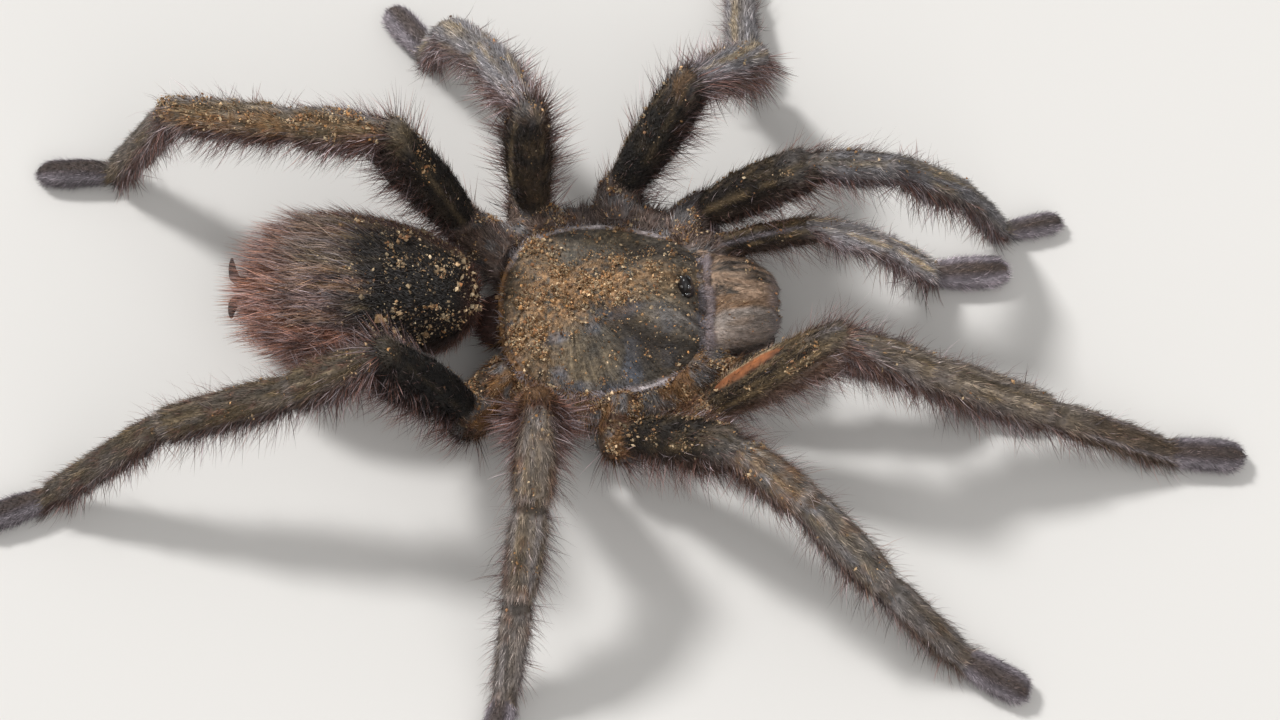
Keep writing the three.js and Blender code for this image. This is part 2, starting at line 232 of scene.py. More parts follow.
def mesh_object(name, points, faces):
    """A new object at the origin from an array of points and one of triangles."""
    mesh = bpy.data.meshes.new(name)
    mesh.vertices.add(len(points))
    mesh.vertices.foreach_set("co", np.asarray(points, np.float32).ravel())
    mesh.loops.add(len(faces) * 3)
    mesh.loops.foreach_set("vertex_index", np.asarray(faces, np.int32).ravel())
    mesh.polygons.add(len(faces))
    mesh.polygons.foreach_set("loop_start", np.arange(0, len(faces) * 3, 3, dtype=np.int32))
    mesh.polygons.foreach_set("loop_total", np.full(len(faces), 3, np.int32))
    mesh.polygons.foreach_set("use_smooth", np.ones(len(faces), bool))
    mesh.update(calc_edges=True)
    piece = bpy.data.objects.new(name, mesh)
    bpy.context.scene.collection.objects.link(piece)
    return piece


def gathered(forms):
    """Several (points, faces) pairs as one pair."""
    counts = np.cumsum([0] + [len(points) for points, _ in forms])
    return (np.vstack([points for points, _ in forms]),
            np.vstack([faces + count for (_, faces), count in zip(forms, counts)]))


def baked(piece):
    """The piece with its modifiers applied."""
    graph = bpy.context.evaluated_depsgraph_get()
    mesh = bpy.data.meshes.new_from_object(piece.evaluated_get(graph))
    piece.modifiers.clear()
    old, piece.data = piece.data, mesh
    bpy.data.meshes.remove(old)
    return piece


skin = mesh_object("skin", *gathered(heap))
remesh = skin.modifiers.new("one surface", "REMESH")
remesh.mode, remesh.voxel_size, remesh.use_smooth_shade = "VOXEL", VOXEL, True
soften = skin.modifiers.new("soften", "SMOOTH")
soften.factor, soften.iterations = 0.5, 9
baked(skin)
skin.data.name = "skin"
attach(skin, "root")
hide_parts(*FLESH)


def arrays_of(piece):
    """Points, point normals and triangles of a piece's mesh."""
    mesh = piece.data
    mesh.calc_loop_triangles()
    points, normals = np.empty(len(mesh.vertices) * 3), np.empty(len(mesh.vertices) * 3)
    mesh.vertices.foreach_get("co", points)
    mesh.vertex_normals.foreach_get("vector", normals)
    triangles = np.empty(len(mesh.loop_triangles) * 3, np.int32)
    mesh.loop_triangles.foreach_get("vertices", triangles)
    return points.reshape(-1, 3), normals.reshape(-1, 3), triangles.reshape(-1, 3)


skin_points, skin_normals, skin_triangles = arrays_of(skin)
print("skin triangles:", len(skin_triangles), "box in mm:", (skin_points.min(0) / MM).round(1),
      (skin_points.max(0) / MM).round(1))

# %% [markdown]
# ## Where am I on the animal?
# Markings and hair both need to know, for any point, which length it is on, how far along it and how far
# round. The nearest axis answers that: distance to the axis less the half thickness picks the part, the foot
# of the perpendicular gives how far along, and the angle from straight up gives how far round (0 on the back,
# half a turn under the belly).

# %% Find the part, the share of its length and the angle round it
def placed(points):
    """part: the axis with the least (distance - half thickness); along: 0 at its start, 1 at its end; around:
    the angle from the back, in radians, positive to the side that SIDE gives."""
    part, least = np.zeros(len(points), int), np.full(len(points), np.inf)
    for i in range(len(PARTS)):
        length = np.linalg.norm(END[i] - START[i])
        inset = HALF[i] if KIND[i] == "abdomen" else 0
        along = np.clip((points - START[i]) @ AXIS[i], inset, length - inset)
        away = np.linalg.norm(points - START[i] - along[:, None] * AXIS[i], axis=1) - HALF[i]
        closer = away < least
        part[closer], least[closer] = i, away[closer]
    offset = points - START[part]
    length = np.linalg.norm(END - START, axis=1)[part]
    along = np.einsum("ij,ij->i", offset, AXIS[part]) / length
    around = np.arctan2(np.einsum("ij,ij->i", offset, SIDE[part]), np.einsum("ij,ij->i", offset, UP[part]))
    return part, np.clip(along, 0, 1), around


def noise(points, size, seed=0):
    """Value noise: random numbers 0 to 1 at the corners of cubes of edge size, blended smoothly between
    them."""
    place = np.asarray(points, float) / size + 101.7 * (seed + 1)
    corner = np.floor(place)
    share = place - corner
    share = share * share * (3 - 2 * share)
    total = np.zeros(len(place))
    for step in np.ndindex(2, 2, 2):
        dots = (corner + step) @ np.array([12.9898, 78.233, 37.719]) + seed * 4.17
        value = np.mod(np.sin(dots) * 43758.5453, 1)
        weight = np.prod(np.where(np.array(step) == 1, share, 1 - share), axis=1)
        total += weight * value
    return total


def layers(points, size, seed=0):
    """Noise at three sizes, each half of the one before, weighted 4 : 2 : 1."""
    return (4 * noise(points, size, seed) + 2 * noise(points, size / 2, seed + 1)
            + noise(points, size / 4, seed + 2)) / 7


def ramp(value, low, high):
    """0 below low, 1 above high, smooth between."""
    share = np.clip((value - low) / (high - low), 0, 1)
    return share * share * (3 - 2 * share)


def bell(value, centre, width, power=2):
    """exp(-((value - centre) / width)^power): 1 at the centre, near 0 from two widths away."""
    return np.exp(-((value - centre) / width) ** power)

# %% [markdown]
# ## Markings
# The colours of a tarantula sit in its hair and in the skin under it alike, so one function gives both. It
# starts from the colour of each kind of length and lays bands, stripes and blotches over it, each with its
# own formula. Colours are linear red, green and blue.

# %% Colours of the animal
STEEL = np.array([0.305, 0.288, 0.300])     # cool pile of the outer legs
OLIVE = np.array([0.230, 0.175, 0.105])     # warm pile of the outer legs
SOOT = np.array([0.016, 0.011, 0.008])      # velvet of the thighs and the back of the abdomen
UMBER = np.array([0.125, 0.082, 0.050])     # flanks of the thighs, hips
RUST = np.array([0.340, 0.150, 0.105])      # long bristles, rear of the abdomen
LILAC = np.array([0.620, 0.550, 0.600])     # pale fringes
CREAM = np.array([0.640, 0.500, 0.320])
GOLD = np.array([0.470, 0.230, 0.078])      # dust on the shield
SLATE = np.array([0.255, 0.220, 0.245])     # feet
LIVER = np.array([0.085, 0.036, 0.026])     # soft parts and underside
BLUE_GREY = np.array([0.150, 0.175, 0.230])
ORANGE = np.array([0.340, 0.118, 0.040])    # the bare strip on the thigh
SHALE = np.array([0.105, 0.090, 0.070])     # the clean plate of the shield
PITCH_AND_PAINTED_SHADE = np.array([0.034, 0.026, 0.020])     # its darkest flanks
BRICK = np.array([0.280, 0.120, 0.050])     # a few red grains
# of each limb: brightness, warmth, brightness of thigh and of foot
TONE = {
    "right_leg_1": (1.48, 0.58, 2.70, 1.0), "right_leg_2": (1.55, 0.48, 1.60, 1.0),
    "right_leg_3": (1.60, 0.50, 1.60, 1.1), "right_leg_4": (0.82, 0.95, 0.28, 0.8),
    "right_palp": (1.30, 0.50, 1.20, 1.0), "left_leg_1": (1.10, 0.15, 1.50, 1.1),
    "left_leg_2": (1.50, 0.15, 0.70, 1.1), "left_leg_3": (1.50, 0.15, 1.60, 1.1),
    "left_leg_4": (1.15, 0.80, 0.80, 0.7), "left_palp": (2.80, 0.12, 2.00, 1.5)}


def mixed(one, other, share):
    """one towards other by share, row by row. Either may be one colour for all rows."""
    share = np.asarray(share)[:, None]
    return one * (1 - share) + other * share


def of_limbs(limb, table, column):
    """One column of a table with a row for each limb, for each point."""
    return sum(row[column] * (limb == name) for name, row in table.items())


def locks(part, along, around, across=0.19, length=2.0, seed=0):
    """Noise drawn out along the part: its cells are length mm long and across mm wide, so hair gathers in
    streaks."""
    span = np.linalg.norm(END - START, axis=1)[part]
    place = np.stack([along * span / (length * MM), around * HALF[part] / (across * MM), part * 7.3], -1)
    return noise(place, 1.0, seed)


def joint_distance(part, along):
    """How far a point is from the start and from the end of its part, in mm."""
    span = np.linalg.norm(END - START, axis=1)[part] / MM
    return along * span, (1 - along) * span


def bare_lines(part, along, around):
    """1 on the two hairless lines that run down the back of knee and shin, 0.42 radians either side of the
    top."""
    line = bell(np.abs(around), 0.42, 0.09) * ramp(locks(part, along, around, 2.0, 3.0, 8), 0.3, 0.7)
    return (line * ramp(along, 0.05, 0.15) * ramp(-along, -0.95, -0.85)
            * np.isin(KIND[part], ("patella", "tibia")))


def bare_strip(part, along, around):
    """1 on the smooth leaf-shaped strip along the inner base of the right front thigh."""
    here = (KIND[part] == "femur") & (LIMB[part] == "right_leg_1")
    half = 0.40 * np.sqrt(np.clip(1 - ((along - 0.41) / 0.25) ** 2, 1e-4, 1))
    return here * bell(around, -0.45, half, 6)

# %% Markings of the limbs
def limb_colour(part, along, around, points):
    """Outer lengths: cool grey towards olive by blotches and locks, two pale bare lines on the back, red
    brown and lilac at the flanks, made paler there as painted light against the shade under the legs, a
    dark seam and a pale edge at each joint. Thighs: black velvet on top with a cream hem, brown streaks at
    the flanks, and on the left palp a pale rim line that is partly a painted highlight. Feet: slate with a
    brown back and a pale rim. Hips: brown with white locks."""
    kind, limb = KIND[part], LIMB[part]
    back = np.cos(around)                               # 1 on the back, -1 below
    first, second, third = (limb == f"right_leg_{number}" for number in (1, 2, 3))
    behind = np.isin(limb, ("left_leg_2", "left_leg_3"))
    right_side, left_side = (np.char.startswith(limb, side) for side in ("right", "left"))
    flank = ramp(-back - 0.25 * third, -0.65, 0.1)
    blotch, lock = layers(points, 1.6 * MM, 3), locks(part, along, around)
    broad = locks(part, along, around, 0.7, 4.5, 6)
    warm = (of_limbs(limb, TONE, 1)
            * (1 - 0.35 * (kind == "metatarsus") - 0.35 * third * ramp(-points[:, 2], -13 * MM, -8 * MM)))
    outer = np.isin(kind, ("patella", "tibia", "metatarsus"))
    pile = mixed(STEEL, OLIVE, np.clip(warm + 1.0 * (blotch - 0.5) + 0.9 * (broad - 0.5), 0, 1))
    cool = left_side & (limb != "left_leg_4")
    pile = np.where(cool[:, None], pile, pile * [1.02, 0.95, 0.87]) * (0.6 + 0.8 * lock)[:, None]
    speck = noise(points, 0.5 * MM, 19)
    pile = mixed(pile, RUST * 0.6 + UMBER * 0.4, 0.5 * (third | second) * ramp(blotch, 0.52, 0.72))
    pile = mixed(pile, GOLD * 0.5 + UMBER * 0.3, 0.6 * second * (kind == "patella") * ramp(speck, 0.35, 0.6))
    pile = np.where(second[:, None], pile * [0.99, 1.05, 1.12], pile)
    crusted = (limb == "left_leg_4") * ramp(-around, -0.5, 0.2) * np.isin(kind, ("patella", "tibia"))
    pile = mixed(pile, GOLD * 0.6 + UMBER * 0.3, 0.75 * crusted * ramp(speck, 0.35, 0.6))
    pile = mixed(pile, STEEL * 1.2, 0.6 * (limb == "left_leg_4") * ramp(around, 0.0, 0.6)
                 * ramp(lock, 0.3, 0.6))
    pile = mixed(pile, RUST * 0.9, 0.6 * (limb == "right_leg_4") * ramp(speck, 0.6, 0.75))
    pile = mixed(pile, OLIVE * 0.45, 0.5 * bell(around, 0, 0.2))
    pile = mixed(pile, CREAM * 0.7, 0.4 * bare_lines(part, along, around))
    pile = mixed(pile, CREAM * 0.8, 0.55 * cool * ramp(broad, 0.55, 0.8))
    # red brown and lilac at the flanks and below, made paler as painted light against the shade under the
    # legs
    under = mixed(RUST * 0.42, LILAC * 0.55, ramp(lock, 0.4, 0.8))
    colour = mixed(pile, under, (0.6 + 0.25 * warm) * flank)
    top = mixed(SOOT, OLIVE * 0.5, 0.7 * ramp(0.6 * blotch + 0.4 * lock, 0.42, 0.75))
    hem = bell(np.abs(around), 0.85, 0.12) * ramp(noise(points, 1.2 * MM, 15), 0.35, 0.6)
    top = mixed(top, CREAM * 0.55, 0.5 * hem * ramp(along, 0.0, 0.1))
    side = mixed(UMBER * 0.6, mixed(RUST * 0.6, LILAC * 0.6, lock), 0.75 * lock)
    pale = 0.4 + 0.6 * first + 0.1 * second
    thigh = mixed(top, OLIVE * 0.5, 0.6 * first * ramp(lock, 0.3, 0.7))
    thigh = mixed(thigh, side * (0.35 + 0.6 * pale)[:, None], ramp(-back, -0.6, 0.2) * (0.5 + 0.5 * pale))
    thigh = mixed(thigh, RUST * 0.25 + UMBER * 0.2, 0.8 * third)
    thigh = mixed(thigh, UMBER * 0.45, 0.6 * behind * ramp(blotch, 0.45, 0.7))
    thigh = mixed(thigh, CREAM * 0.45, 0.75 * behind * bell(around, -0.8, 0.2) * ramp(blotch, 0.3, 0.55))
    thigh = thigh * of_limbs(limb, TONE, 2)[:, None] * [1.04, 0.94, 0.80]
    knee_end = ramp(along + 0.16 * (blotch - 0.5) + 0.14 * (lock - 0.5), 0.80, 0.98) * ramp(back, -0.5, 0.2)
    faint = (0.35 + 0.45 * warm) * np.where(limb == "right_leg_4", 0.3, 1.0)
    thigh = mixed(thigh, mixed(pile * 1.2, CREAM * 0.5, 0.5 * warm), faint * knee_end * ~third)
    thigh = mixed(thigh, GOLD * 0.5 + UMBER * 0.3, 0.7 * (third | behind) * knee_end
                  * ramp(blotch, 0.35, 0.6))
    thigh = mixed(thigh, LILAC * 0.6, 0.75 * first * knee_end * ramp(lock, 0.4, 0.7)
                  * ramp(-around, -0.4, 0.2))
    thigh = mixed(thigh, CREAM * [0.95, 0.85, 0.6], 0.85 * (limb == "left_leg_1") * bell(around, -0.68, 0.2)
                  * ramp(-along, -0.5, -0.35) * ramp(lock, 0.1, 0.4))
    thigh = mixed(thigh, GOLD * [0.8, 1.1, 1.6], 0.6 * (limb == "left_palp") * ramp(-around, -0.3, 0.2)
                  * ramp(lock, 0.2, 0.5))
    # a pale lilac line on the left palp's thigh: a pale rim, partly the painted highlight of its glossy near
    # face
    thigh = mixed(thigh, LILAC * 0.8, 0.7 * (limb == "left_palp") * bell(around, 0.42, 0.1))
    strip = bare_strip(part, along, around)
    thigh = mixed(thigh, ORANGE * (0.4 + 1.2 * noise(points, 0.6 * MM, 17))[:, None], strip)
    cream_edge = bell(around, -0.86, 0.12) * first * ramp(along, 0.18, 0.26)
    cream_edge = cream_edge * ramp(-along, -0.68, -0.6) * ramp(noise(points, 0.6 * MM, 18), 0.1, 0.3)
    thigh = mixed(thigh, CREAM * 1.35, cream_edge)
    colour = np.where((kind == "femur")[:, None], thigh, colour)
    foot = mixed(SLATE, UMBER * 0.9, 0.9 * bell(around, 0.2, 0.68, 4) * (0.5 + 0.5 * lock))
    foot = mixed(foot, RUST * 0.4, 0.2 * warm)
    foot = mixed(foot, LILAC * 0.9, 0.75 * ramp(np.abs(around - 0.2), 0.8, 1.1))
    near_foot = (kind == "metatarsus") * (second | first) * ramp(along, 0.15, 0.4)
    foot_hem = bell(np.abs(around - 0.2), 0.85, 0.12)
    colour = mixed(colour, mixed(UMBER * (0.6 + 0.8 * lock)[:, None], LILAC * 0.55, 0.8 * foot_hem),
                   (0.8 - 0.4 * second) * near_foot)
    colour = np.where((kind == "tarsus")[:, None], foot * (0.75 + 0.5 * blotch)[:, None], colour)
    after, before = joint_distance(part, along)
    edge = bell(before, 0.5, 0.2 + 0.12 * right_side) * np.isin(kind, ("patella", "tibia"))
    edge = edge + bell(after, 0.45, 0.28) * (kind == "patella") * right_side
    edge = (np.clip(edge, 0, 1) * ramp(back, -0.2, 0.4)
            * ramp(noise(points, 0.8 * MM, 13) + 0.2 * right_side, 0.25, 0.55))
    colour = mixed(colour, LILAC * 0.42 + CREAM * 0.30, (0.65 + 0.2 * right_side) * edge)
    seam = bell(before, 0, 0.12) * np.isin(kind, ("patella", "tibia"))
    seam = seam + bell(after, 0, 0.12) * np.isin(kind, ("patella", "tibia", "metatarsus"))
    colour = mixed(colour, SOOT * 1.5, (0.35 + 0.3 * third) * seam)
    silver = first * (kind == "patella") * ramp(-after, -2.6, -0.8) * ramp(-around, -0.3, 0.4)
    silver = silver + behind * (kind == "patella") * ramp(-after, -5, -1)
    colour = mixed(colour, LILAC * 0.8, 0.7 * np.clip(silver, 0, 1) * ramp(back, -0.5, 0.2)
                   * ramp(lock, 0.3, 0.65))
    bright = np.where(outer, of_limbs(limb, TONE, 0),
                      np.where(kind == "tarsus", of_limbs(limb, TONE, 3), 1.0))
    root = mixed(UMBER * 1.1, GOLD * 0.8 + UMBER * 0.3, 0.85 * ramp(blotch, 0.35, 0.6)
                 * ramp(back, -0.4, 0.2))
    root = mixed(root, UMBER + 0.25 * LILAC, 0.75 * left_side)
    root = mixed(root, RUST * 0.6, 0.6 * ramp(lock, 0.4, 0.8) * (1 - 0.5 * left_side))
    white = ramp(noise(points, 1.1 * MM, 9) + 0.05 * left_side, 0.55, 0.70) * ramp(lock, 0.25, 0.55)
    root = mixed(root, BLUE_GREY * 0.5 + LILAC * 0.4 + [0.03, 0.04, 0.0], 0.8 * white)
    hip = (kind == "coxa") + (kind == "femur") * ramp(-after + 0.8 * (blotch - 0.5), -2.3, -1.3) * (1 - strip)
    return mixed(colour * bright[:, None], root, hip)

# %% Markings of the body
def body_colour(part, along, around, points):
    """Abdomen black in front and above, then streaks of grey, lilac and rust, liver at the waist; jaws
    streaked along, one golden with a painted shadow on its inner side in the cleft between the jaws, and one
    mauve, lighter up its near side and brighter overall as painted light, and darker underneath as painted
    shade; soft parts liver brown."""
    kind, limb = KIND[part], LIMB[part]
    back = np.cos(around)
    blotch, fine = layers(points, 2.0 * MM, 7), noise(points, 0.5 * MM, 11)
    lock, wide = locks(part, along, around, 0.28, 3.2, 2), locks(part, along, around, 0.9, 4.5, 12)
    grey = mixed(OLIVE * 1.2, LILAC * [0.52, 0.47, 0.42], np.clip(0.42 + 1.6 * (lock - 0.5), 0, 1))
    pink = mixed(RUST * [1.22, 1.25, 1.05], RUST * 0.7 + LILAC * 0.34, ramp(lock, 0.35, 0.8))
    tail = np.clip(0.9 * ramp(-back, -0.9, -0.4) + 0.8 * ramp(along, 0.74, 0.92) + 1.2 * (wide - 0.5), 0, 1)
    rear = mixed(grey, pink, tail)
    black = ramp(-along + 0.22 * (blotch - 0.5) + 0.22 * (lock - 0.5), -0.62, -0.42)
    # leans to the right side
    black = black * ramp(np.cos(around + 0.4) + 0.35 * (blotch - 0.5), 0.2, 0.55)
    abdomen = mixed(rear, SOOT * 0.8, 0.97 * black)
    abdomen = mixed(abdomen, RUST * 0.42, 0.7 * ramp(-along, -0.5, -0.1) * (1 - black))
    abdomen = mixed(abdomen, LIVER * 1.2, 0.8 * ramp(-along, -0.09, -0.02))
    colour = np.where((kind == "abdomen")[:, None], abdomen, LIVER)
    streak = locks(part, along, around, 0.20, 2.6, 5)
    gold = mixed(UMBER * 0.7, GOLD * 0.9 + LILAC * 0.12, ramp(streak, 0.26, 0.62))
    dark = (bell(around + 0.25 + 0.3 * (along - 0.5), 0, 0.15) * ramp(along, 0.05, 0.25)
            * ramp(-along, -0.85, -0.7))
    # painted shadow: the golden jaw darker on its inner side, in the cleft between the jaws, besides its own
    # dark streak
    gold = mixed(gold, SOOT * 2, 0.9 * np.clip(dark + 0.7 * ramp(around, 0.75, 1.2), 0, 1))
    mauve = mixed(LILAC * [0.50, 0.50, 0.49], UMBER * 0.9, 0.45 * ramp(streak, 0.4, 0.75))
    mauve = mixed(mauve, GOLD * 0.8, 0.6 * ramp(wide, 0.45, 0.75) * ramp(-around, -0.5, 0.1)
                  * ramp(-along, -0.7, -0.4))
    mauve = mixed(mauve, GOLD * 0.6 + UMBER * 0.3, 0.5 * ramp(-around, 0.0, 0.7))
    # painted light and shade: the mauve jaw is lighter up its near side and raised overall against its shade,
    # and darker underneath
    mauve = mauve * (0.7 + 0.75 * ramp(around, 0.1, 0.9) - 0.9 * ramp(around, 1.25, 1.7))[:, None]
    jaw = np.where((limb == "left")[:, None], gold * [1.2, 1.5, 2.0], mauve * [1.95, 1.86, 1.55])
    jaw = mixed(jaw, LILAC * 0.9, 0.45 * ramp(along, 0.8, 0.97))
    jaw = mixed(jaw, RUST * 0.5, ramp(-back, 0, 0.8))
    colour = np.where((kind == "chelicera")[:, None], jaw, colour)
    fingers = mixed(LIVER * 0.4, OLIVE * 0.5, 0.3 * fine)
    return np.where((kind == "spinneret")[:, None], fingers, colour)


def markings(points):
    """The colour of skin and hair at each point."""
    part, along, around = placed(points)
    on_limb = np.isin(KIND[part], LEG + ("coxa",))
    colour = np.empty((len(points), 3))
    for here, colouring in ((on_limb, limb_colour), (~on_limb, body_colour)):
        colour[here] = colouring(part[here], along[here], around[here], points[here])
    return colour


def paint(piece, colour):
    """Keep a colour for each point of the piece, or one for all, in the attribute tint that its material
    reads."""
    layer = piece.data.color_attributes.new("tint", "FLOAT_COLOR", "POINT")
    rows = np.ones((len(piece.data.vertices), 4))
    rows[:, :3] = colour
    layer.data.foreach_set("color", rows.astype(np.float32).ravel())


part, along, around = placed(skin_points)
naked = np.maximum(bare_strip(part, along, around), bare_lines(part, along, around))
# the skin under the hair is darker, 0.5, and paler where bare; on the jaws it is kept at 0.8, painted light
# against their shade
paint(skin, markings(skin_points) * np.where(KIND[part] == "chelicera", 0.8, 0.5 + 0.45 * naked)[:, None])
print("skin painted, mean colour:", markings(skin_points).mean(0).round(3))

# %% [markdown]
# ## Finishes
# Every finish is built from nodes. Colour comes from the tint attribute and is broken up by noise on object
# coordinates, in metres, so a scale of 2000 gives a grain of half a millimetre.

# %% A helper for the node trees
def finish(name, roughness, grain, contrast, bump=0.0, bump_grain=3000.0, **settings):
    """Principled shader: tint times a noise of the given grain, and a bump of the given height in metres."""
    material = bpy.data.materials.new(name)
    material.use_nodes = True
    nodes, links = material.node_tree.nodes, material.node_tree.links
    shader = nodes["Principled BSDF"]
    shader.inputs["Roughness"].default_value = roughness
    for socket, value in settings.items():
        shader.inputs[socket.replace("_", " ")].default_value = value
    tint = nodes.new("ShaderNodeAttribute")
    tint.attribute_name = "tint"
    place = nodes.new("ShaderNodeTexCoord")
    mottle = nodes.new("ShaderNodeTexNoise")
    mottle.inputs["Scale"].default_value, mottle.inputs["Detail"].default_value = grain, 4
    spread = nodes.new("ShaderNodeMapRange")
    spread.inputs["From Min"].default_value, spread.inputs["From Max"].default_value = 0.3, 0.7
    spread.inputs["To Min"].default_value, spread.inputs["To Max"].default_value = 1 - contrast, 1 + contrast
    shade = nodes.new("ShaderNodeMix")
    shade.data_type, shade.blend_type = "RGBA", "MULTIPLY"
    shade.inputs[0].default_value = 1.0
    links.new(place.outputs["Object"], mottle.inputs["Vector"])
    links.new(mottle.outputs["Fac"], spread.inputs["Value"])
    links.new(tint.outputs["Color"], shade.inputs[6])
    links.new(spread.outputs["Result"], shade.inputs[7])
    links.new(shade.outputs[2], shader.inputs["Base Color"])
    if bump:
        relief, lift = nodes.new("ShaderNodeTexNoise"), nodes.new("ShaderNodeBump")
        relief.inputs["Scale"].default_value, relief.inputs["Detail"].default_value = bump_grain, 3
        lift.inputs["Strength"].default_value, lift.inputs["Distance"].default_value = 1.0, bump
        links.new(place.outputs["Object"], relief.inputs["Vector"])
        links.new(relief.outputs["Fac"], lift.inputs["Height"])
        links.new(lift.outputs["Normal"], shader.inputs["Normal"])
    return material


SKIN = finish("hide under the hair", 0.75, 1400, 0.3, bump=0.09 * MM)
HAIR = finish("hair", 0.45, 1100, 0.16)
BRISTLE = finish("long bristles", 0.38, 700, 0.2)
SHIELD = finish("dusty shield", 0.60, 2300, 0.50, bump=0.14 * MM, bump_grain=3600, Sheen_Weight=0.10)
EYE = finish("glassy eye", 0.06, 2500, 0.3, IOR=1.8, Coat_Weight=1.0, Coat_IOR=2.0)
MOUND = finish("eye mound", 0.28, 2500, 0.4, bump=0.03 * MM)
HORN = finish("polished horn", 0.2, 1500, 0.3, bump=0.02 * MM)
GRIT = finish("clinging grit", 0.8, 5000, 0.25, bump=0.02 * MM, bump_grain=9000)
skin.data.materials.append(SKIN)
print("finishes:", len(bpy.data.materials))

# %% [markdown]
# ## The shield
# The carapace is a low dome, raised in front where the head is, with a pit two thirds back (the fovea) and
# furrows that fan out from it where the leg muscles hold on inside. Sculpting would do, but the plate has an
# exact recipe: a rounded outline, a dome, a raised head and furrows as narrow dips, so it is one function of
# how far out (0 at the crown, 1 at the rim) and how far round.

# %% Build the shield
lower, upper = (np.array(corner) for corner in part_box("carapace"))
MIDDLE = (lower + upper) / 2
SHIELD_HALF = np.array([(upper - lower)[0] / 2 - 0.3 * MM, 8.65 * MM])
# the straight front edge, and where the sides would meet without it
FRONT_EDGE, HEAD_REACH = 9.55 * MM, 15.5 * MM
RIM, DOME, RISE, HEAD_HALF_WIDTH = 5.75 * MM, 2.35 * MM, 2.2 * MM, 4.2 * MM
FRONT_LIFT = 1.25 * MM                          # the rim climbs by this at the front edge
FLANGE = 0.955
FOVEA = -2.4 * MM                               # the pit lies behind the shield's middle
# degrees from ahead, depth, width
FURROWS = ((34, 0.50, 0.85), (74, 0.18, 0.5), (108, 0.18, 0.5), (140, 0.22, 0.5))


def outness(x, y):
    """n-th root of |x / a|^n + |y / b|^n, with n = 2.5 behind and, with a longer a, 1.6 ahead, cut off by a
    straight front edge: the 16th root of (that^16 + (x / front)^16). 0 in the middle of the shield, 1 at its
    rim."""
    lean = x / np.maximum(np.hypot(x, y), 1e-12)
    power = 2.5 - 0.9 * ramp(lean, -0.3, 0.3)
    reach = np.where(x > 0, HEAD_REACH, SHIELD_HALF[0])
    oval = (np.abs(x / reach) ** power + np.abs(y / SHIELD_HALF[1]) ** power) ** (1 / power)
    return (oval ** 16 + (np.maximum(x, 0) / FRONT_EDGE) ** 16) ** (1 / 16)


def crown(x, y, out):
    """dome (1 - out^2)^0.8, plus the head: rise, times a ramp forward, exp(-(y / half width)^4) and (1 -
    out^2.6). Both end at FLANGE of the way out, and the rest is a flat rim."""
    out = np.minimum(out / FLANGE, 1)
    dome = DOME * (1 - out ** 2) ** 0.8
    return dome + RISE * ramp(x, -3.5 * MM, 3.5 * MM) * bell(y, 0, HEAD_HALF_WIDTH, 4) * (1 - out ** 2.6)


def furrowed(x, y, out):
    """Depth of the pit, and of the furrows: for each, a bell across its line that fades in from the pit and
    out at the rim."""
    ahead, aside = x - FOVEA, np.abs(y)
    depth = 0.5 * MM * np.exp(-((ahead / (0.45 * MM)) ** 2 + (aside / (1.0 * MM)) ** 2))
    for turn, deep, wide in FURROWS:
        along = ahead * math.cos(math.radians(turn)) + aside * math.sin(math.radians(turn))
        across = -ahead * math.sin(math.radians(turn)) + aside * math.cos(math.radians(turn))
        dip = bell(across, 0, (wide + 0.05 * np.clip(along / MM, 0, 9)) * MM)
        depth = depth + deep * MM * dip * ramp(along, 0.2 * MM, 2 * MM) * ramp(-out, -0.95, -0.6)
    return depth


def rim_height(x, y):
    """RIM, and FRONT_LIFT more where the head meets the jaws."""
    return RIM + FRONT_LIFT * ramp(x, 2.0 * MM, 7.5 * MM) * bell(y, 0, 5.5 * MM, 4)


rows, columns = 96, 192
turn = np.linspace(0, 2 * np.pi, columns, endpoint=False)
ray = np.stack([np.cos(turn), np.sin(turn)]) * MM
rim = ray / outness(*ray)                                # where each ray from the middle meets the rim
out = np.linspace(0.012, 1, rows)[:, None]
plate_x, plate_y = out * rim[0], out * rim[1]
plate_z = rim_height(plate_x, plate_y) + crown(plate_x, plate_y, out) - furrowed(plate_x, plate_y, out)
top = np.stack([plate_x, plate_y, plate_z], -1)
# the rim turns under and back inwards to the underside
lip = np.stack([np.stack([rim[0] * share, rim[1] * share, rim_height(*(rim * share)) + drop * MM], -1)
                for share, drop in ((1.0, -0.12), (0.99, -0.28), (0.96, -0.38), (0.6, -0.45), (0.05, -0.45))])
poles = [[0, 0, plate_z[0].mean()], [0, 0, RIM - 0.45 * MM]]
plate_points = np.vstack([top.reshape(-1, 3), lip.reshape(-1, 3), poles]) + [MIDDLE[0], MIDDLE[1], 0]
shield = mesh_object("shield", plate_points, grid_faces(rows + 5, columns)[:, ::-1])


def on_plate(points):
    """Places on the shield: ahead and aside of its middle, and how far out."""
    x, y = points[:, 0] - MIDDLE[0], points[:, 1] - MIDDLE[1]
    return x, y, outness(x, y)


def dusted(x, y):
    """How dusty the shield is: a broad band over its middle and rear, a heap at the right rear rim, little
    elsewhere."""
    x, y = x / MM, y / MM
    core = np.exp(-((x + 1.2) / 4.3) ** 4 - ((y - 0.6) / 3.0) ** 4)
    rear = 0.35 * bell(x, -5.6, 2.4) + 0.45 * np.exp(-((x - 5.0) / 3.0) ** 2 - ((y - 1.2) / 1.6) ** 2)
    heap = np.exp(-((x + 7.2) / 0.9) ** 2 - ((y + 2.8) / 1.8) ** 2)
    return np.clip(core + rear + 0.9 * heap + 0.03, 0, 1)


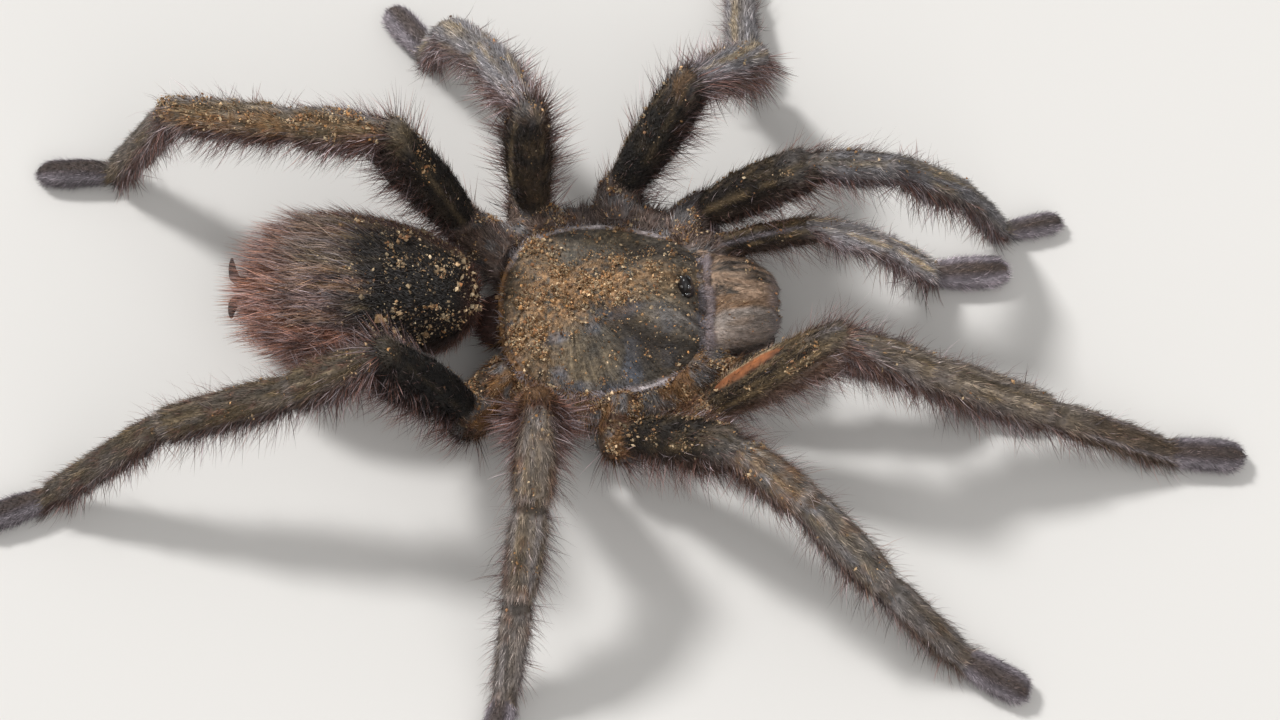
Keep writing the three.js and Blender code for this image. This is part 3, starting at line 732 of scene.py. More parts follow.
def shield_colour(points):
    """Dark olive with silky rays from the pit, blue grey patches on the near side that are partly a painted
    sheen, golden dust over the middle, a painted sheen on the near side of the head, nearly black flanks of
    the head that are painted shade on the near side, painted shade in the furrows and the pit, and a pale
    rim."""
    x, y, out = on_plate(points)
    blotch, fine = layers(points, 2.2 * MM, 21), noise(points, 0.3 * MM, 24)
    angle, far = np.arctan2(y, x - FOVEA), np.hypot(x - FOVEA, y)
    rays = noise(np.stack([angle * 42, far / (1.8 * MM), 0 * x], -1), 1.0, 23)
    colour = mixed(SHALE, OLIVE * 0.9, 0.7 * ramp(blotch, 0.4, 0.7))
    colour = colour * (0.25 + 1.5 * rays)[:, None]
    # blue grey patches on the near side, partly a painted sheen
    blue = ramp(noise(points, 1.6 * MM, 27), 0.5, 0.75) * ramp(-y, 0.5 * MM, 2.0 * MM)
    colour = mixed(colour, BLUE_GREY, 0.65 * blue)
    crust = mixed(GOLD * 0.38, GOLD * 0.85 + CREAM * 0.2, ramp(fine, 0.25, 0.75))
    colour = mixed(colour, crust, 0.95 * dusted(x, y) * ramp(0.5 * blotch + 0.5 * fine, 0.32, 0.52))
    # a painted sheen: a pale blue olive patch on the near side of the head, beside the eye mound
    painted_sheen = ramp(x, 3.0 * MM, 6.0 * MM) * bell(y, -2.7 * MM, 1.0 * MM)
    colour = mixed(colour, (BLUE_GREY * 0.7 + OLIVE * 0.5) * (0.4 + 1.2 * rays)[:, None], 0.65 * painted_sheen)
    # nearly black flanks of the head; on the near side this darkness is painted shade
    flank = ramp(x, 1.0 * MM, 4.0 * MM) * bell(np.abs(y + 0.3 * MM), 5.1 * MM, 1.35 * MM, 4)
    colour = mixed(colour, PITCH_AND_PAINTED_SHADE * (0.4 + 1.4 * rays)[:, None], (0.8 + 0.1 * (y > 0)) * flank)
    # painted shade: darker in the furrows and the pit, by their depth
    furrow_shade = furrowed(x, y, np.clip(out, 0, 1)) / (0.5 * MM)
    colour = mixed(colour, SOOT * 2.2, 0.7 * np.clip(furrow_shade, 0, 1))
    edge = ramp(out, 0.935, 0.955)
    colour = mixed(colour, GOLD * 0.45, edge)
    ahead = ramp(x, 7 * MM, 8.6 * MM)
    far_side = ramp(y, -1 * MM, 3 * MM) * ramp(x, -8.3 * MM, -6.5 * MM)
    pale = np.maximum(far_side, ramp(x, -0.5 * MM, 3 * MM)) * (0.85 - 0.6 * ahead)
    return mixed(colour, LILAC * [0.95, 0.98, 0.92], edge * pale
                 * ramp(layers(points, 1.5 * MM, 29), 0.25, 0.45))


paint(shield, shield_colour(plate_points))
shield.data.materials.append(SHIELD)
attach(shield, "root")
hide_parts("carapace")
print("shield triangles:", len(shield.data.polygons))

# %% [markdown]
# ## The eyes
# Eight small eyes share one glossy black mound: two round ones look ahead, two oval ones stand beside them,
# and behind lie two small pale ones between two more ovals. Each lens is a flattened egg set into the mound.

# %% Build the mound and its eight lenses
lower, upper = (np.array(corner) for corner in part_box("eye_mound"))
mound_middle = np.array([(lower[0] + upper[0]) / 2, (lower[1] + upper[1]) / 2, lower[2] + 0.2 * MM])
mound_half = np.array([(upper[0] - lower[0]) / 2, (upper[1] - lower[1]) / 2, upper[2] - lower[2] - 0.25 * MM])
mound_points, mound_faces = egg(mound_middle, np.diag(mound_half), 28, 48)
mound_points[:, 2] = np.maximum(mound_points[:, 2], lower[2] - 0.5 * MM)
mound = mesh_object("eye_mound_skin", mound_points, mound_faces)
paint(mound, [0.014, 0.012, 0.012])
mound.data.materials.append(MOUND)

LENSES = [  # ahead and aside on the mound as shares of its half sizes, half length, half width in mm, tilt
    (0.48, 0.42, 0.27, 0.25, 0), (0.30, 0.80, 0.30, 0.19, 25), (-0.42, 0.78, 0.27, 0.18, -20),
    (-0.38, 0.42, 0.17, 0.14, 10)]
lenses = []
for ahead, aside, long_half, wide_half, tilt in LENSES:
    for side in (-1, 1):
        flat = np.array([ahead, side * aside])
        height = math.sqrt(max(1 - (flat ** 2).sum(), 0.12))
        outward = np.array([flat[0] / mound_half[0], flat[1] / mound_half[1], height / mound_half[2]])
        outward /= np.linalg.norm(outward)
        level = np.array([math.cos(math.radians(tilt)), side * math.sin(math.radians(tilt)), 0])
        one = level - (level @ outward) * outward
        one /= np.linalg.norm(one)
        other = np.cross(outward, one)
        place = mound_middle + mound_half * np.array([flat[0], flat[1], height])
        lenses.append(egg(place, np.array([long_half * one, wide_half * other, 0.13 * outward]) * MM, 12, 24))
eyes = mesh_object("eyes", *gathered(lenses))
eye_points = arrays_of(eyes)[0]
paint(eyes, mixed(np.array([0.010, 0.010, 0.013]), np.array([0.09, 0.075, 0.06]),
                  np.repeat([0, 0, 0, 0, 0.1, 0.1, 0.6, 0.6], len(eye_points) // 8)))
eyes.data.materials.append(EYE)
for piece in (mound, eyes):
    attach(piece, "root")
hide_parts("eye_mound")
print("lenses:", len(lenses))

# %% [markdown]
# ## Fangs and claws
# Both are smooth dark horn: curved cones. A tube carried along a bent path, with its radius falling to the
# tip, makes each one. The fangs fold back under the jaws; two claws end each foot, half hidden in its brush.

# %% Carry a tapering tube along a bent path
def horn_tube(root, bend, tip, half, rows=26, columns=16):
    """Path: quadratic curve through root, towards bend, to tip. Radius: half (1 - 0.93 s^1.3). Closed at both
    ends."""
    s = np.linspace(0, 1, rows)[:, None]
    root, bend, tip = (np.asarray(p, float) for p in (root, bend, tip))
    path = (1 - s) ** 2 * root + 2 * s * (1 - s) * bend + s ** 2 * tip
    ahead = np.gradient(path, axis=0)
    ahead /= np.linalg.norm(ahead, axis=1)[:, None]
    plane = np.cross(bend - root, tip - root)
    plane = plane / np.linalg.norm(plane) if np.linalg.norm(plane) > 1e-12 else np.array([0, 1.0, 0])
    other = np.cross(ahead, plane)
    turn = np.linspace(0, 2 * np.pi, columns, endpoint=False)[None, :, None]
    radius = (half * (1 - 0.93 * s ** 1.3))[:, :, None]
    rings = path[:, None] + radius * (np.cos(turn) * plane + np.sin(turn) * other[:, None])
    return np.vstack([rings.reshape(-1, 3), path[:1], path[-1:]]), grid_faces(rows, columns)


for side, sign in (("right", -1), ("left", 1)):
    lower, upper = (np.array(corner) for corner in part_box(f"fang_{side}"))
    across = (lower[1] + upper[1]) / 2
    root = [upper[0] - 0.75 * MM, across + sign * 0.25 * MM, upper[2] - 0.1 * MM]
    fang = mesh_object(f"fang_horn_{side}", *horn_tube(
        root, [upper[0] - 0.75 * MM, across, lower[2] + 0.2 * MM],
        [lower[0] + 0.1 * MM, across - sign * 0.3 * MM, lower[2] + 0.6 * MM], 0.68 * MM))
    paint(fang, [0.022, 0.012, 0.009])
    fang.data.materials.append(HORN)
    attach(fang, "root")
    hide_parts(f"fang_{side}")

claw_forms = []
for i in np.flatnonzero(KIND == "tarsus"):
    for sign in (-1, 1):
        root = END[i] - 0.55 * MM * AXIS[i] + sign * 0.38 * MM * SIDE[i] + 0.15 * MM * UP[i]
        bend = END[i] + 0.25 * MM * AXIS[i] + sign * 0.45 * MM * SIDE[i] + 0.25 * MM * UP[i]
        tip = END[i] + 0.35 * MM * AXIS[i] + sign * 0.45 * MM * SIDE[i] - 0.5 * MM * UP[i]
        claw_forms.append(horn_tube(root, bend, tip, 0.13 * MM, 10, 8))
claws = mesh_object("claws", *gathered(claw_forms))
paint(claws, [0.025, 0.016, 0.012])
claws.data.materials.append(HORN)
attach(claws, "root")
print("claws:", len(claw_forms))

# %% [markdown]
# ## Hair
# Hair could be particles or curves, but only solid mesh survives being exported, so each hair is a thin
# closed spike with three sides. Thousands are made at once: roots are scattered evenly over the skin, each
# gets the direction in which the coat lies there (towards the foot, the tail or the rim), and a spike is bent
# along it.

# %% Unwrap: give every part of the skin a place of its own on the unit square
CELLS = np.zeros((len(PARTS), 4))        # left, bottom, width, height of each part's cell
limb_parts = [i for i in range(len(PARTS)) if KIND[i] in LEG + ("coxa",)]
for number, i in enumerate(limb_parts):
    CELLS[i] = [(number % 10) * 0.1, (number // 10) * 0.1, 0.1, 0.1]
for number, i in enumerate(i for i in range(len(PARTS))
                           if KIND[i] in ("chelicera", "spinneret", "pedicel", "sternum")):
    CELLS[i] = [0.66 + (number % 3) * 0.11, 0.62 + (number // 3) * 0.18, 0.11, 0.18]
CELLS[[part[0] for part in PARTS].index("abdomen")] = [0.0, 0.62, 0.33, 0.37]
SHIELD_CELL = [0.33, 0.62, 0.33, 0.37]


def unwrapped(part, along, around):
    """Across the cell: how far along the part. Up the cell: how far round it."""
    cell = CELLS[part]
    return np.stack([cell[:, 0] + cell[:, 2] * (0.05 + 0.9 * along),
                     cell[:, 1] + cell[:, 3] * (0.5 + 0.45 * around / np.pi)], -1)

# %% Scatter roots over a surface
dice = np.random.default_rng(7)


def scattered(points, normals, triangles, weight, count):
    """count places on the triangles, drawn by area times weight, with the normal there."""
    corners = points[triangles]
    area = np.linalg.norm(np.cross(corners[:, 1] - corners[:, 0], corners[:, 2] - corners[:, 0]), axis=1)
    total = np.cumsum(area * weight)
    chosen = np.searchsorted(total, dice.random(count) * total[-1])
    one, other = dice.random((2, count, 1))
    flip = (one + other) > 1
    one, other = np.where(flip, 1 - one, one), np.where(flip, 1 - other, other)
    shares = (1 - one - other, one, other)
    place = sum(share * points[triangles[chosen, k]] for k, share in enumerate(shares))
    normal = sum(share * normals[triangles[chosen, k]] for k, share in enumerate(shares))
    return place, normal / np.linalg.norm(normal, axis=1)[:, None]

# %% Grow spikes from roots
def unit(vectors):
    return vectors / np.maximum(np.linalg.norm(vectors, axis=1), 1e-12)[:, None]


ROOT_DEPTH = 0.05 * MM                   # how deep a hair starts under the skin
FLOOR_GAP = 0.02 * MM                    # nothing goes lower than this
TURNS = (0.5, 2.594, 4.689)              # the three corners of a hair, in radians round its centre line


def spikes(roots, normals, lie, length, width, lift, droop, sections):
    """Centre line at share s: root + length (s cos(lift) lie + (s sin(lift) - droop s^2) normal), from a
    little under the skin. Width falls as (1 - 0.75 s). Rings of three points and a point at the tip; closed
    at the root."""
    count = len(roots)
    s = np.linspace(0, 1, sections + 1)[None, :, None]
    length, width, lift, droop = (
        np.broadcast_to(value, count)[:, None, None] for value in (length, width, lift, droop))
    reach = length * s
    line = roots[:, None] - ROOT_DEPTH * normals[:, None] + reach * np.cos(lift) * lie[:, None]
    line = line + (reach * np.sin(lift) - length * droop * s ** 2) * normals[:, None]
    aside = unit(np.cross(lie, normals))[:, None]
    above = normals[:, None]
    rings = []
    for turn in TURNS:
        radius = width * (1 - 0.75 * s[:, :-1]) / 2
        rings.append(line[:, :-1] + radius * (math.cos(turn) * aside + 0.6 * math.sin(turn) * above))
    body = np.stack(rings, 2).reshape(count, sections * 3, 3)
    points = np.concatenate([body, line[:, -1:]], 1)
    points[..., 2] = np.maximum(points[..., 2], FLOOR_GAP)
    faces = [(0, 1, 2)]
    for k in range(sections - 1):
        for a in range(3):
            b = (a + 1) % 3
            faces += [(3 * k + a, 3 * k + 3 + a, 3 * k + 3 + b), (3 * k + a, 3 * k + 3 + b, 3 * k + b)]
    last = 3 * (sections - 1)
    faces += [(last + a, 3 * sections, last + (a + 1) % 3) for a in range(3)]
    each = 3 * sections + 1
    everywhere = (np.array(faces)[None] + each * np.arange(count)[:, None, None]).reshape(-1, 3)
    return points.reshape(-1, 3), everywhere, each


PATCH = 0.003                            # width of a hair's patch on the map, as a share of the map


def coat_piece(name, grown, colour, chart, material, pale=0.0):
    """Join the spikes to one piece, each darker at the root as painted shade and lighter at the tip as a
    painted highlight, towards lilac by up to the share pale at the tip as a painted highlight too, and with a
    patch PATCH wide at its root's place on the unwrap for its map OFBake."""
    points, faces, each = grown
    piece = mesh_object(name, points, faces)
    rank = np.arange(each)
    height = np.ceil((rank + 1) / 3 - 1) / ((each - 1) // 3)           # 0 at the root, 1 at the tip
    # painted shade and highlight along each hair: 0.62 at the root to 1.24 at the tip, and lilac tips as a
    # painted highlight
    shades = colour[:, None] * (0.62 + 0.62 * height)[None, :, None]
    share = (pale * dice.random((len(colour), 1)) * height ** 2)[..., None]
    paint(piece, (shades * (1 - share) + 0.6 * LILAC * share).reshape(-1, 3))
    patch = np.stack([(rank % 3 - 1) * (PATCH / 2), (height - 0.5) * PATCH], -1)
    patch[-1] = [0, PATCH / 2]
    spots = (chart[:, None] + patch[None]).reshape(-1, 2)
    layer = piece.data.uv_layers.new(name="OFBake")
    layer.data.foreach_set("uv", spots[faces.ravel()].astype(np.float32).ravel())
    piece.data.materials.append(material)
    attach(piece, "root")
    print(name, "spikes:", len(chart), "triangles:", len(faces), "top in mm:",
          round(points[:, 2].max() / MM, 1))
    return piece

# %% [markdown]
# The coat lies along each length, but never quite straight: broad swirls turn whole patches a little, narrow
# ones make the hair gather in locks, and each hair strays a little by itself.

# %% The lie of the coat
def flank_of(around):
    """0 on the back, 1 from the flanks down."""
    return ramp(-np.cos(around), -0.6, 0.15)


# the part beyond each joint, or the part itself
NEXT, LAST = np.arange(len(PARTS)), np.arange(len(PARTS))
for i in range(len(PARTS) - 1):
    if LIMB[i] == LIMB[i + 1] and KIND[i + 1] in LEG:
        NEXT[i], LAST[i + 1] = i + 1, i


def streaming(part, normals):
    """The lift that turns a hair from flat on the skin to straight along the axis, where the skin faces that
    way."""
    return np.arcsin(np.einsum("ij,ij->i", normals, AXIS[part]).clip(0, 1))


def lie_of(part, share, around, points, normals, stray, hang=0.0):
    """The axis of the part, turned half way to that of the next one at a joint, pulled down at the flanks by
    hang, laid flat on the skin, and turned about the normal by broad and narrow noise."""
    after, before = joint_distance(part, share)
    along = mixed(AXIS[part], AXIS[NEXT[part]], 0.5 * ramp(-before, -2.2, 0.0))
    along = mixed(along, AXIS[LAST[part]], 0.5 * ramp(-after, -2.2, 0.0))
    along = along - hang * flank_of(around)[:, None] * [0, 0, 1.0]
    flat = unit(along - np.einsum("ij,ij->i", along, normals)[:, None] * normals)
    aside = np.cross(normals, flat)
    turn = 0.5 * (noise(points, 2.5 * MM, 31) - 0.5) + 0.9 * (noise(points, 0.5 * MM, 32) - 0.5)
    turn = (turn + stray * dice.standard_normal(len(points))) * np.where(KIND[part] == "chelicera", 0.4, 1.0)
    return unit(np.cos(turn)[:, None] * flat + np.sin(turn)[:, None] * aside)


SHORT = {  # length, width in mm, lift in degrees, hairs for each square mm
    "femur": (1.05, 0.074, 34, 25), "patella": (1.20, 0.076, 33, 28), "tibia": (1.20, 0.076, 33, 28),
    "metatarsus": (1.15, 0.074, 33, 29), "tarsus": (0.75, 0.064, 36, 46), "coxa": (1.3, 0.080, 42, 26),
    "sternum": (0.9, 0.080, 35, 10), "chelicera": (0.9, 0.054, 20, 62), "spinneret": (0.25, 0.045, 15, 25),
    "pedicel": (1.0, 0.070, 34, 20), "abdomen": (1.15, 0.076, 31, 32)}
centres = skin_points[skin_triangles].mean(1)
tri_part, tri_along, tri_around = placed(centres)
tri_kind, tri_limb = KIND[tri_part], LIMB[tri_part]
under_shield = (outness(centres[:, 0] - MIDDLE[0], centres[:, 1] - MIDDLE[1]) < 0.93) \
    & (centres[:, 2] > 4.5 * MM) & (centres[:, 2] < 9 * MM) & np.isin(tri_kind, ("coxa", "sternum"))
tri_after = joint_distance(tri_part, tri_along)[0]
tri_bare = (1 - 0.97 * bare_strip(tri_part, tri_along, tri_around)
            - 0.5 * bare_lines(tri_part, tri_along, tri_around))


def table_of(kinds, table, column):
    """One column of a table of hair settings, for each hair."""
    value = np.zeros(len(kinds))
    for kind, settings in table.items():
        value[kinds == kind] = settings[column]
    return value


def hair_shades(count, spread, low=0.3, high=2.4):
    """A brightness for each hair, as uneven as in a real coat: exp(spread times a normal number)."""
    return np.exp(spread * dice.standard_normal((count, 1)) - spread ** 2 / 2).clip(low, high)


def short_coat(name, mask, count):
    """Short hair over the triangles in mask: flat and shorter on the back, ending at the joints of knee and
    shin."""
    weight = table_of(tri_kind, SHORT, 3) * mask * ~under_shield * tri_bare
    roots, normals = scattered(skin_points, skin_normals, skin_triangles, weight, count)
    part, along, around = placed(roots)
    kind, lock = KIND[part], locks(part, along, around, 0.3, 1.6, 4)
    flank, before = flank_of(around), joint_distance(part, along)[1]
    length = table_of(kind, SHORT, 0) * MM * dice.uniform(0.6, 1.3, count) * (0.82 + 0.28 * flank)
    length = np.where(np.isin(kind, ("patella", "tibia")),
                      np.minimum(length, (before + 0.42 + 0.6 * flank) * MM), length)
    lift = (np.radians(table_of(kind, SHORT, 2)) * dice.uniform(0.4, 1.5, count) * (0.6 + 0.8 * lock)
            * (0.85 + 0.3 * flank))
    lift = lift + 0.6 * (kind == "abdomen") * streaming(part, normals)
    grown = spikes(roots, normals, lie_of(part, along, around, roots, normals, 0.2, 0.15), length,
                   table_of(kind, SHORT, 1) * MM * dice.uniform(0.8, 1.25, count), lift, 0.10, 1)
    smooth = kind == "chelicera"
    colour = markings(roots) * hair_shades(count, np.where(smooth, 0.35, 0.6)[:, None])
    colour = colour * np.where(smooth, 1.0, 0.65 + 0.7 * lock)[:, None]
    coat_piece(name, grown, colour, unwrapped(part, along, around), HAIR)


right, left = (np.char.startswith(tri_limb, side) & np.isin(tri_kind, LEG) for side in ("right", "left"))
front = (np.char.endswith(tri_limb, "_1") | np.char.endswith(tri_limb, "_2")
         | np.char.endswith(tri_limb, "palp"))
short_coat("coat_short_right_front", right & front, 41000)
short_coat("coat_short_right_rear", right & ~front, 34000)
short_coat("coat_short_left_front", left & front, 36000)
short_coat("coat_short_left_rear", left & ~front, 34000)
short_coat("coat_short_abdomen", np.isin(tri_kind, ("abdomen", "spinneret", "pedicel")), 30000)
short_coat("coat_short_jaws_and_belly", np.isin(tri_kind, ("chelicera", "coxa", "sternum")), 28000)

# %% Long bristles
LONG = {  # length, width in mm, lift in degrees, bristles for each square mm
    "femur": (3.8, 0.072, 58, 3.6), "patella": (3.3, 0.072, 52, 4.0), "tibia": (3.5, 0.072, 52, 4.2),
    "metatarsus": (2.8, 0.070, 46, 4.2), "tarsus": (0.9, 0.062, 36, 3.0), "coxa": (2.0, 0.080, 46, 5.0),
    "sternum": (1.4, 0.08, 45, 1.0), "chelicera": (1.6, 0.066, 18, 5.0), "spinneret": (0.6, 0.05, 20, 0.0),
    "pedicel": (1.8, 0.08, 50, 5.0), "abdomen": (3.1, 0.078, 26, 7.0)}


def long_coat(name, mask, count):
    """Long bristles: few and short on the back of the limbs, dense, long and standing off at the flanks and
    below; on the abdomen longest at the tail and streaming back."""
    tri_flank = flank_of(tri_around)
    weight = table_of(tri_kind, LONG, 3) * mask * ~under_shield * tri_bare
    weight = weight * np.where(tri_kind == "abdomen",
                               0.25 + 1.6 * ramp(tri_along, 0.3, 0.75) + 0.5 * tri_flank, 0.16 + tri_flank)
    weight = weight * ~((tri_kind == "femur") & (tri_limb == "right_leg_1")
                        & (tri_around < 0) & (tri_along < 0.6))      # none beside the bare strip
    roots, normals = scattered(skin_points, skin_normals, skin_triangles, weight, count)
    part, along, around = placed(roots)
    kind, flank = KIND[part], flank_of(around)
    body = kind == "abdomen"
    length = table_of(kind, LONG, 0) * MM * (0.35 + 0.95 * dice.random(count) ** 1.4)
    length = length * np.where(body, 0.4 + 0.85 * along, 0.42 + 0.68 * flank)
    lift = (np.radians(table_of(kind, LONG, 2))
            * (0.35 + 0.5 * dice.random(count) + 0.9 * noise(roots, 0.8 * MM, 33)))
    lift = lift * np.where(body, 1.6 - 1.1 * along + 0.35 * flank * (along < 0.8), 0.5 + 0.6 * flank)
    lift = lift + 0.9 * body * streaming(part, normals)
    grown = spikes(roots, normals, lie_of(part, along, around, roots, normals, 0.24, 0.35), length,
                   table_of(kind, LONG, 1) * MM * dice.uniform(0.75, 1.25, count), lift,
                   np.where(body, 0.14, 0.24), 2)
    pick = dice.random(count)
    strands = np.where((pick < 0.5)[:, None], RUST * 0.45,
                       np.where((pick < 0.8)[:, None], RUST * 0.5 + LILAC * 0.2, LILAC * 0.95))
    dark = (kind == "femur") & ~np.isin(LIMB[part], ("right_leg_1", "right_leg_2"))
    strands = np.where(dark[:, None], RUST * 0.35 + strands * 0.75, strands * [1.35, 1.25, 1.2])
    rusty = np.where((pick < 0.5)[:, None], RUST * [1.45, 1.3, 0.95], RUST * 0.9 + LILAC * [0.50, 0.38, 0.30])
    rusty = mixed(rusty, markings(roots) * 1.3, 0.7 * ramp(-along, -0.85, -0.7) * (1 - flank))
    strands = np.where(body[:, None], np.where((pick > 0.85)[:, None], LILAC * 0.95, rusty), strands)
    strands = np.where((body & (along < 0.5) & (np.cos(around + 0.4) > 0.3))[:, None], SOOT * 2, strands)
    colour = mixed(markings(roots) * 1.1, strands,
                   np.where(np.isin(kind, ("tarsus", "chelicera")), 0.25, 0.45 + 0.45 * flank))
    coat_piece(name, grown, colour * hair_shades(count, 0.6), unwrapped(part, along, around), BRISTLE,
               0.5)


long_coat("coat_long_right", right, 17500)
long_coat("coat_long_left", left, 16000)
long_coat("coat_long_abdomen", np.isin(tri_kind, ("abdomen", "pedicel")), 11500)
long_coat("coat_long_jaws_and_belly", np.isin(tri_kind, ("chelicera", "coxa", "sternum")), 6500)

# %% [markdown]
# The shield wears the finest hair of all: a flat silky nap that runs outwards from the pit, and a pale fringe
# that hangs over its rim and stands along its front edge.

# %% The nap and the fringe of the shield
shield_points, shield_normals, shield_triangles = arrays_of(shield)
shield_centres = shield_points[shield_triangles].mean(1)
shield_x, shield_y, shield_out = on_plate(shield_centres)
facing = shield_normals[shield_triangles].mean(1)[:, 2]


def shield_coat(name, count, weight, length, width, lift, fringe):
    """Hair on the shield that lies outwards from the pit: a nap, or with fringe a pale seam of longer
    hair."""
    roots, normals = scattered(shield_points, shield_normals, shield_triangles, weight, count)
    x, y, out = on_plate(roots)
    away = unit(np.stack([x - FOVEA + 2.5 * MM * ramp(x, 0, 6 * MM), y, 0 * x], -1))
    flat = unit(away - np.einsum("ij,ij->i", away, normals)[:, None] * normals)
    turn = ((0.9 + 0.7 * fringe) * (noise(roots, 0.6 * MM, 51) - 0.5)
            + (0.2 + 0.15 * fringe) * dice.standard_normal(count))
    lie = unit(np.cos(turn)[:, None] * flat + np.sin(turn)[:, None] * np.cross(normals, flat))
    tuft = ramp(noise(roots, 0.9 * MM, 55), 0.35, 0.65) if fringe else np.ones(count)
    grown = spikes(roots, normals, lie, length * MM * dice.uniform(0.6, 1.3, count) * (0.5 + 0.5 * tuft),
                   width * MM, np.radians(lift) * dice.uniform(0.4, 1.6, count),
                   0.25 if fringe else 0.08, 2 if fringe else 1)
    colour = shield_colour(roots) * 1.2 * hair_shades(count, 0.45)
    if fringe:
        colour = mixed(colour, LILAC, dice.uniform(0.3, 1.0, count) * (0.35 + 0.65 * tuft))
    chart = np.stack([SHIELD_CELL[0] + SHIELD_CELL[2] * (0.5 + 0.42 * x / SHIELD_HALF[0]),
                      SHIELD_CELL[1] + SHIELD_CELL[3] * (0.5 + 0.42 * y / SHIELD_HALF[1])], -1)
    coat_piece(name, grown, colour, chart, HAIR)


shield_coat("coat_shield_nap", 20000, ramp(shield_out, 0.03, 0.08) * (facing > 0), 0.65, 0.05, 10, False)
near_side = ramp(-shield_y, -1 * MM, 3 * MM)
seam = ramp(shield_out, 0.91, 0.95) * (0.1 + 6 * ramp(shield_x, 7.5 * MM, 8.4 * MM)
                                       + near_side * ramp(noise(shield_centres, 2.0 * MM, 53), 0.45, 0.6))
shield_coat("coat_shield_fringe", 9500, seam * (facing > -0.1), 1.30, 0.060, 38, True)

# %% [markdown]
# ## Grit
# A burrower wears its soil: pale grains cling to the shield, the thighs and the black velvet of the abdomen.
# Each grain is an octahedron with its corners pushed about, sunk a little into the hair.

# %% Scatter the grit
def grit(name, places, normals, half, spread, orange, slot):
    """Octahedra: six corners at random 0.6 to 1.3 of the grain's half size, turned at random; a few much
    larger."""
    count = len(places)
    corners = np.array([[1, 0, 0], [-1, 0, 0], [0, 1, 0], [0, -1, 0], [0, 0, 1], [0, 0, -1]], float)
    size = half * MM * np.exp(spread * dice.standard_normal(count)).clip(0.4, 4.5)
    spin = np.linalg.qr(dice.standard_normal((count, 3, 3)))[0]
    spin[:, 0] *= np.sign(np.linalg.det(spin))[:, None]
    body = corners[None] * dice.uniform(0.6, 1.3, (count, 6, 1)) * size[:, None, None] * [1.2, 1.0, 0.6]
    body = np.einsum("nij,nkj->nki", spin, body) + places[:, None] + (normals * 0.2 * MM)[:, None]
    faces = np.array([(0, 2, 4), (2, 1, 4), (1, 3, 4), (3, 0, 4), (2, 0, 5), (1, 2, 5), (3, 1, 5), (0, 3, 5)])
    faces = (faces[None] + 6 * np.arange(count)[:, None, None]).reshape(-1, 3)
    piece = mesh_object(name, body.reshape(-1, 3), faces)
    piece.data.polygons.foreach_set("use_smooth", np.zeros(len(faces), bool))
    pale = mixed(GOLD * 0.8, CREAM * 0.9, dice.random(count) ** (1.0 if orange else 0.6))
    pale = mixed(pale, BRICK, 0.8 * (dice.random(count) > (0.8 if orange else 0.93)))
    paint(piece, np.repeat(pale * hair_shades(count, 0.5) * 0.9, 6, axis=0))
    piece.data.materials.append(GRIT)
    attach(piece, "root")
    print(name, "grains:", count)


def crumbs(places, normals, lumps, each, width):
    """Some places are taken as lumps: each more grains pressed together around them."""
    chosen = dice.integers(0, len(places), lumps).repeat(each)
    near = places[chosen] + width * MM * dice.standard_normal((len(chosen), 3)) + normals[chosen] * 0.12 * MM
    return np.vstack([places, near]), np.vstack([normals, normals[chosen]])


up_facing = ramp(skin_normals[skin_triangles].mean(1)[:, 2], 0.1, 0.7)
clumps = ramp(layers(centres, 1.5 * MM, 61), 0.45, 0.68) ** 2
shield_clumps = ramp(layers(shield_centres, 1.4 * MM, 62), 0.42, 0.66) ** 2
on_shield = (dusted(shield_x, shield_y) ** 1.3 * (0.05 + shield_clumps ** 1.5) + 0.008) * (facing > 0.3)
grit("grit_shield", *crumbs(*scattered(shield_points, shield_normals, shield_triangles, on_shield, 10500),
                            130, 16, 0.16), 0.043, 0.75, True, "carapace")
thigh_hem = bell(np.abs(tri_around), 0.8, 0.35)
dusty_thigh = (1 + 2.0 * (tri_limb == "right_leg_2") + 0.8 * (tri_limb == "right_leg_1")
               + 1.5 * np.isin(tri_limb, ("left_leg_2", "left_leg_3", "left_leg_4")))
on_left = np.char.startswith(tri_limb, "left_")
on_skin = (0.5 * (tri_kind == "femur") * (0.4 + thigh_hem) * dusty_thigh + 0.5 * (tri_kind == "chelicera")
           + 6.5 * ((tri_kind == "coxa") | (tri_kind == "femur") & (tri_after < 1.8))
           * np.where(on_left, 0.3, 1.0)
           + np.isin(tri_kind, ("patella", "tibia")) * (0.25 + 2.0 * (tri_limb == "left_leg_4"))
           + 2.2 * (tri_kind == "patella") * (tri_limb == "right_leg_2") * (tri_after < 3)
           + 0.12 * (tri_kind == "abdomen") * (tri_along > 0.5))
on_skin = on_skin * up_facing * (0.04 + clumps) * ~under_shield * (tri_bare > 0.6)
grit("grit_limbs", *crumbs(*scattered(skin_points, skin_normals, skin_triangles, on_skin, 12000),
                           140, 10, 0.15), 0.045, 0.7, True, "velvet")
on_back = ((tri_kind == "abdomen") * (0.05 + ramp(-tri_along, -0.62, -0.35)) * ramp(up_facing, 0, 0.6)
           * (0.25 + clumps))
grit("grit_abdomen", *crumbs(*scattered(skin_points, skin_normals, skin_triangles, on_back, 1500),
                             12, 26, 0.2), 0.058, 0.65, False, "velvet")
lumpy = (tri_kind == "abdomen") * ramp(up_facing, 0.3, 0.8) * (0.15 + ramp(-tri_along, -0.62, -0.35))
grit("crumbs_abdomen", *crumbs(*scattered(skin_points, skin_normals, skin_triangles, lumpy, 26), 9, 9, 0.22),
     0.13, 0.45, True, "velvet")

# %% [markdown]
# ## Stage
# A plain pale floor that goes out of sight, soft light from the upper left, and a camera high above the
# animal's right side with a long lens.

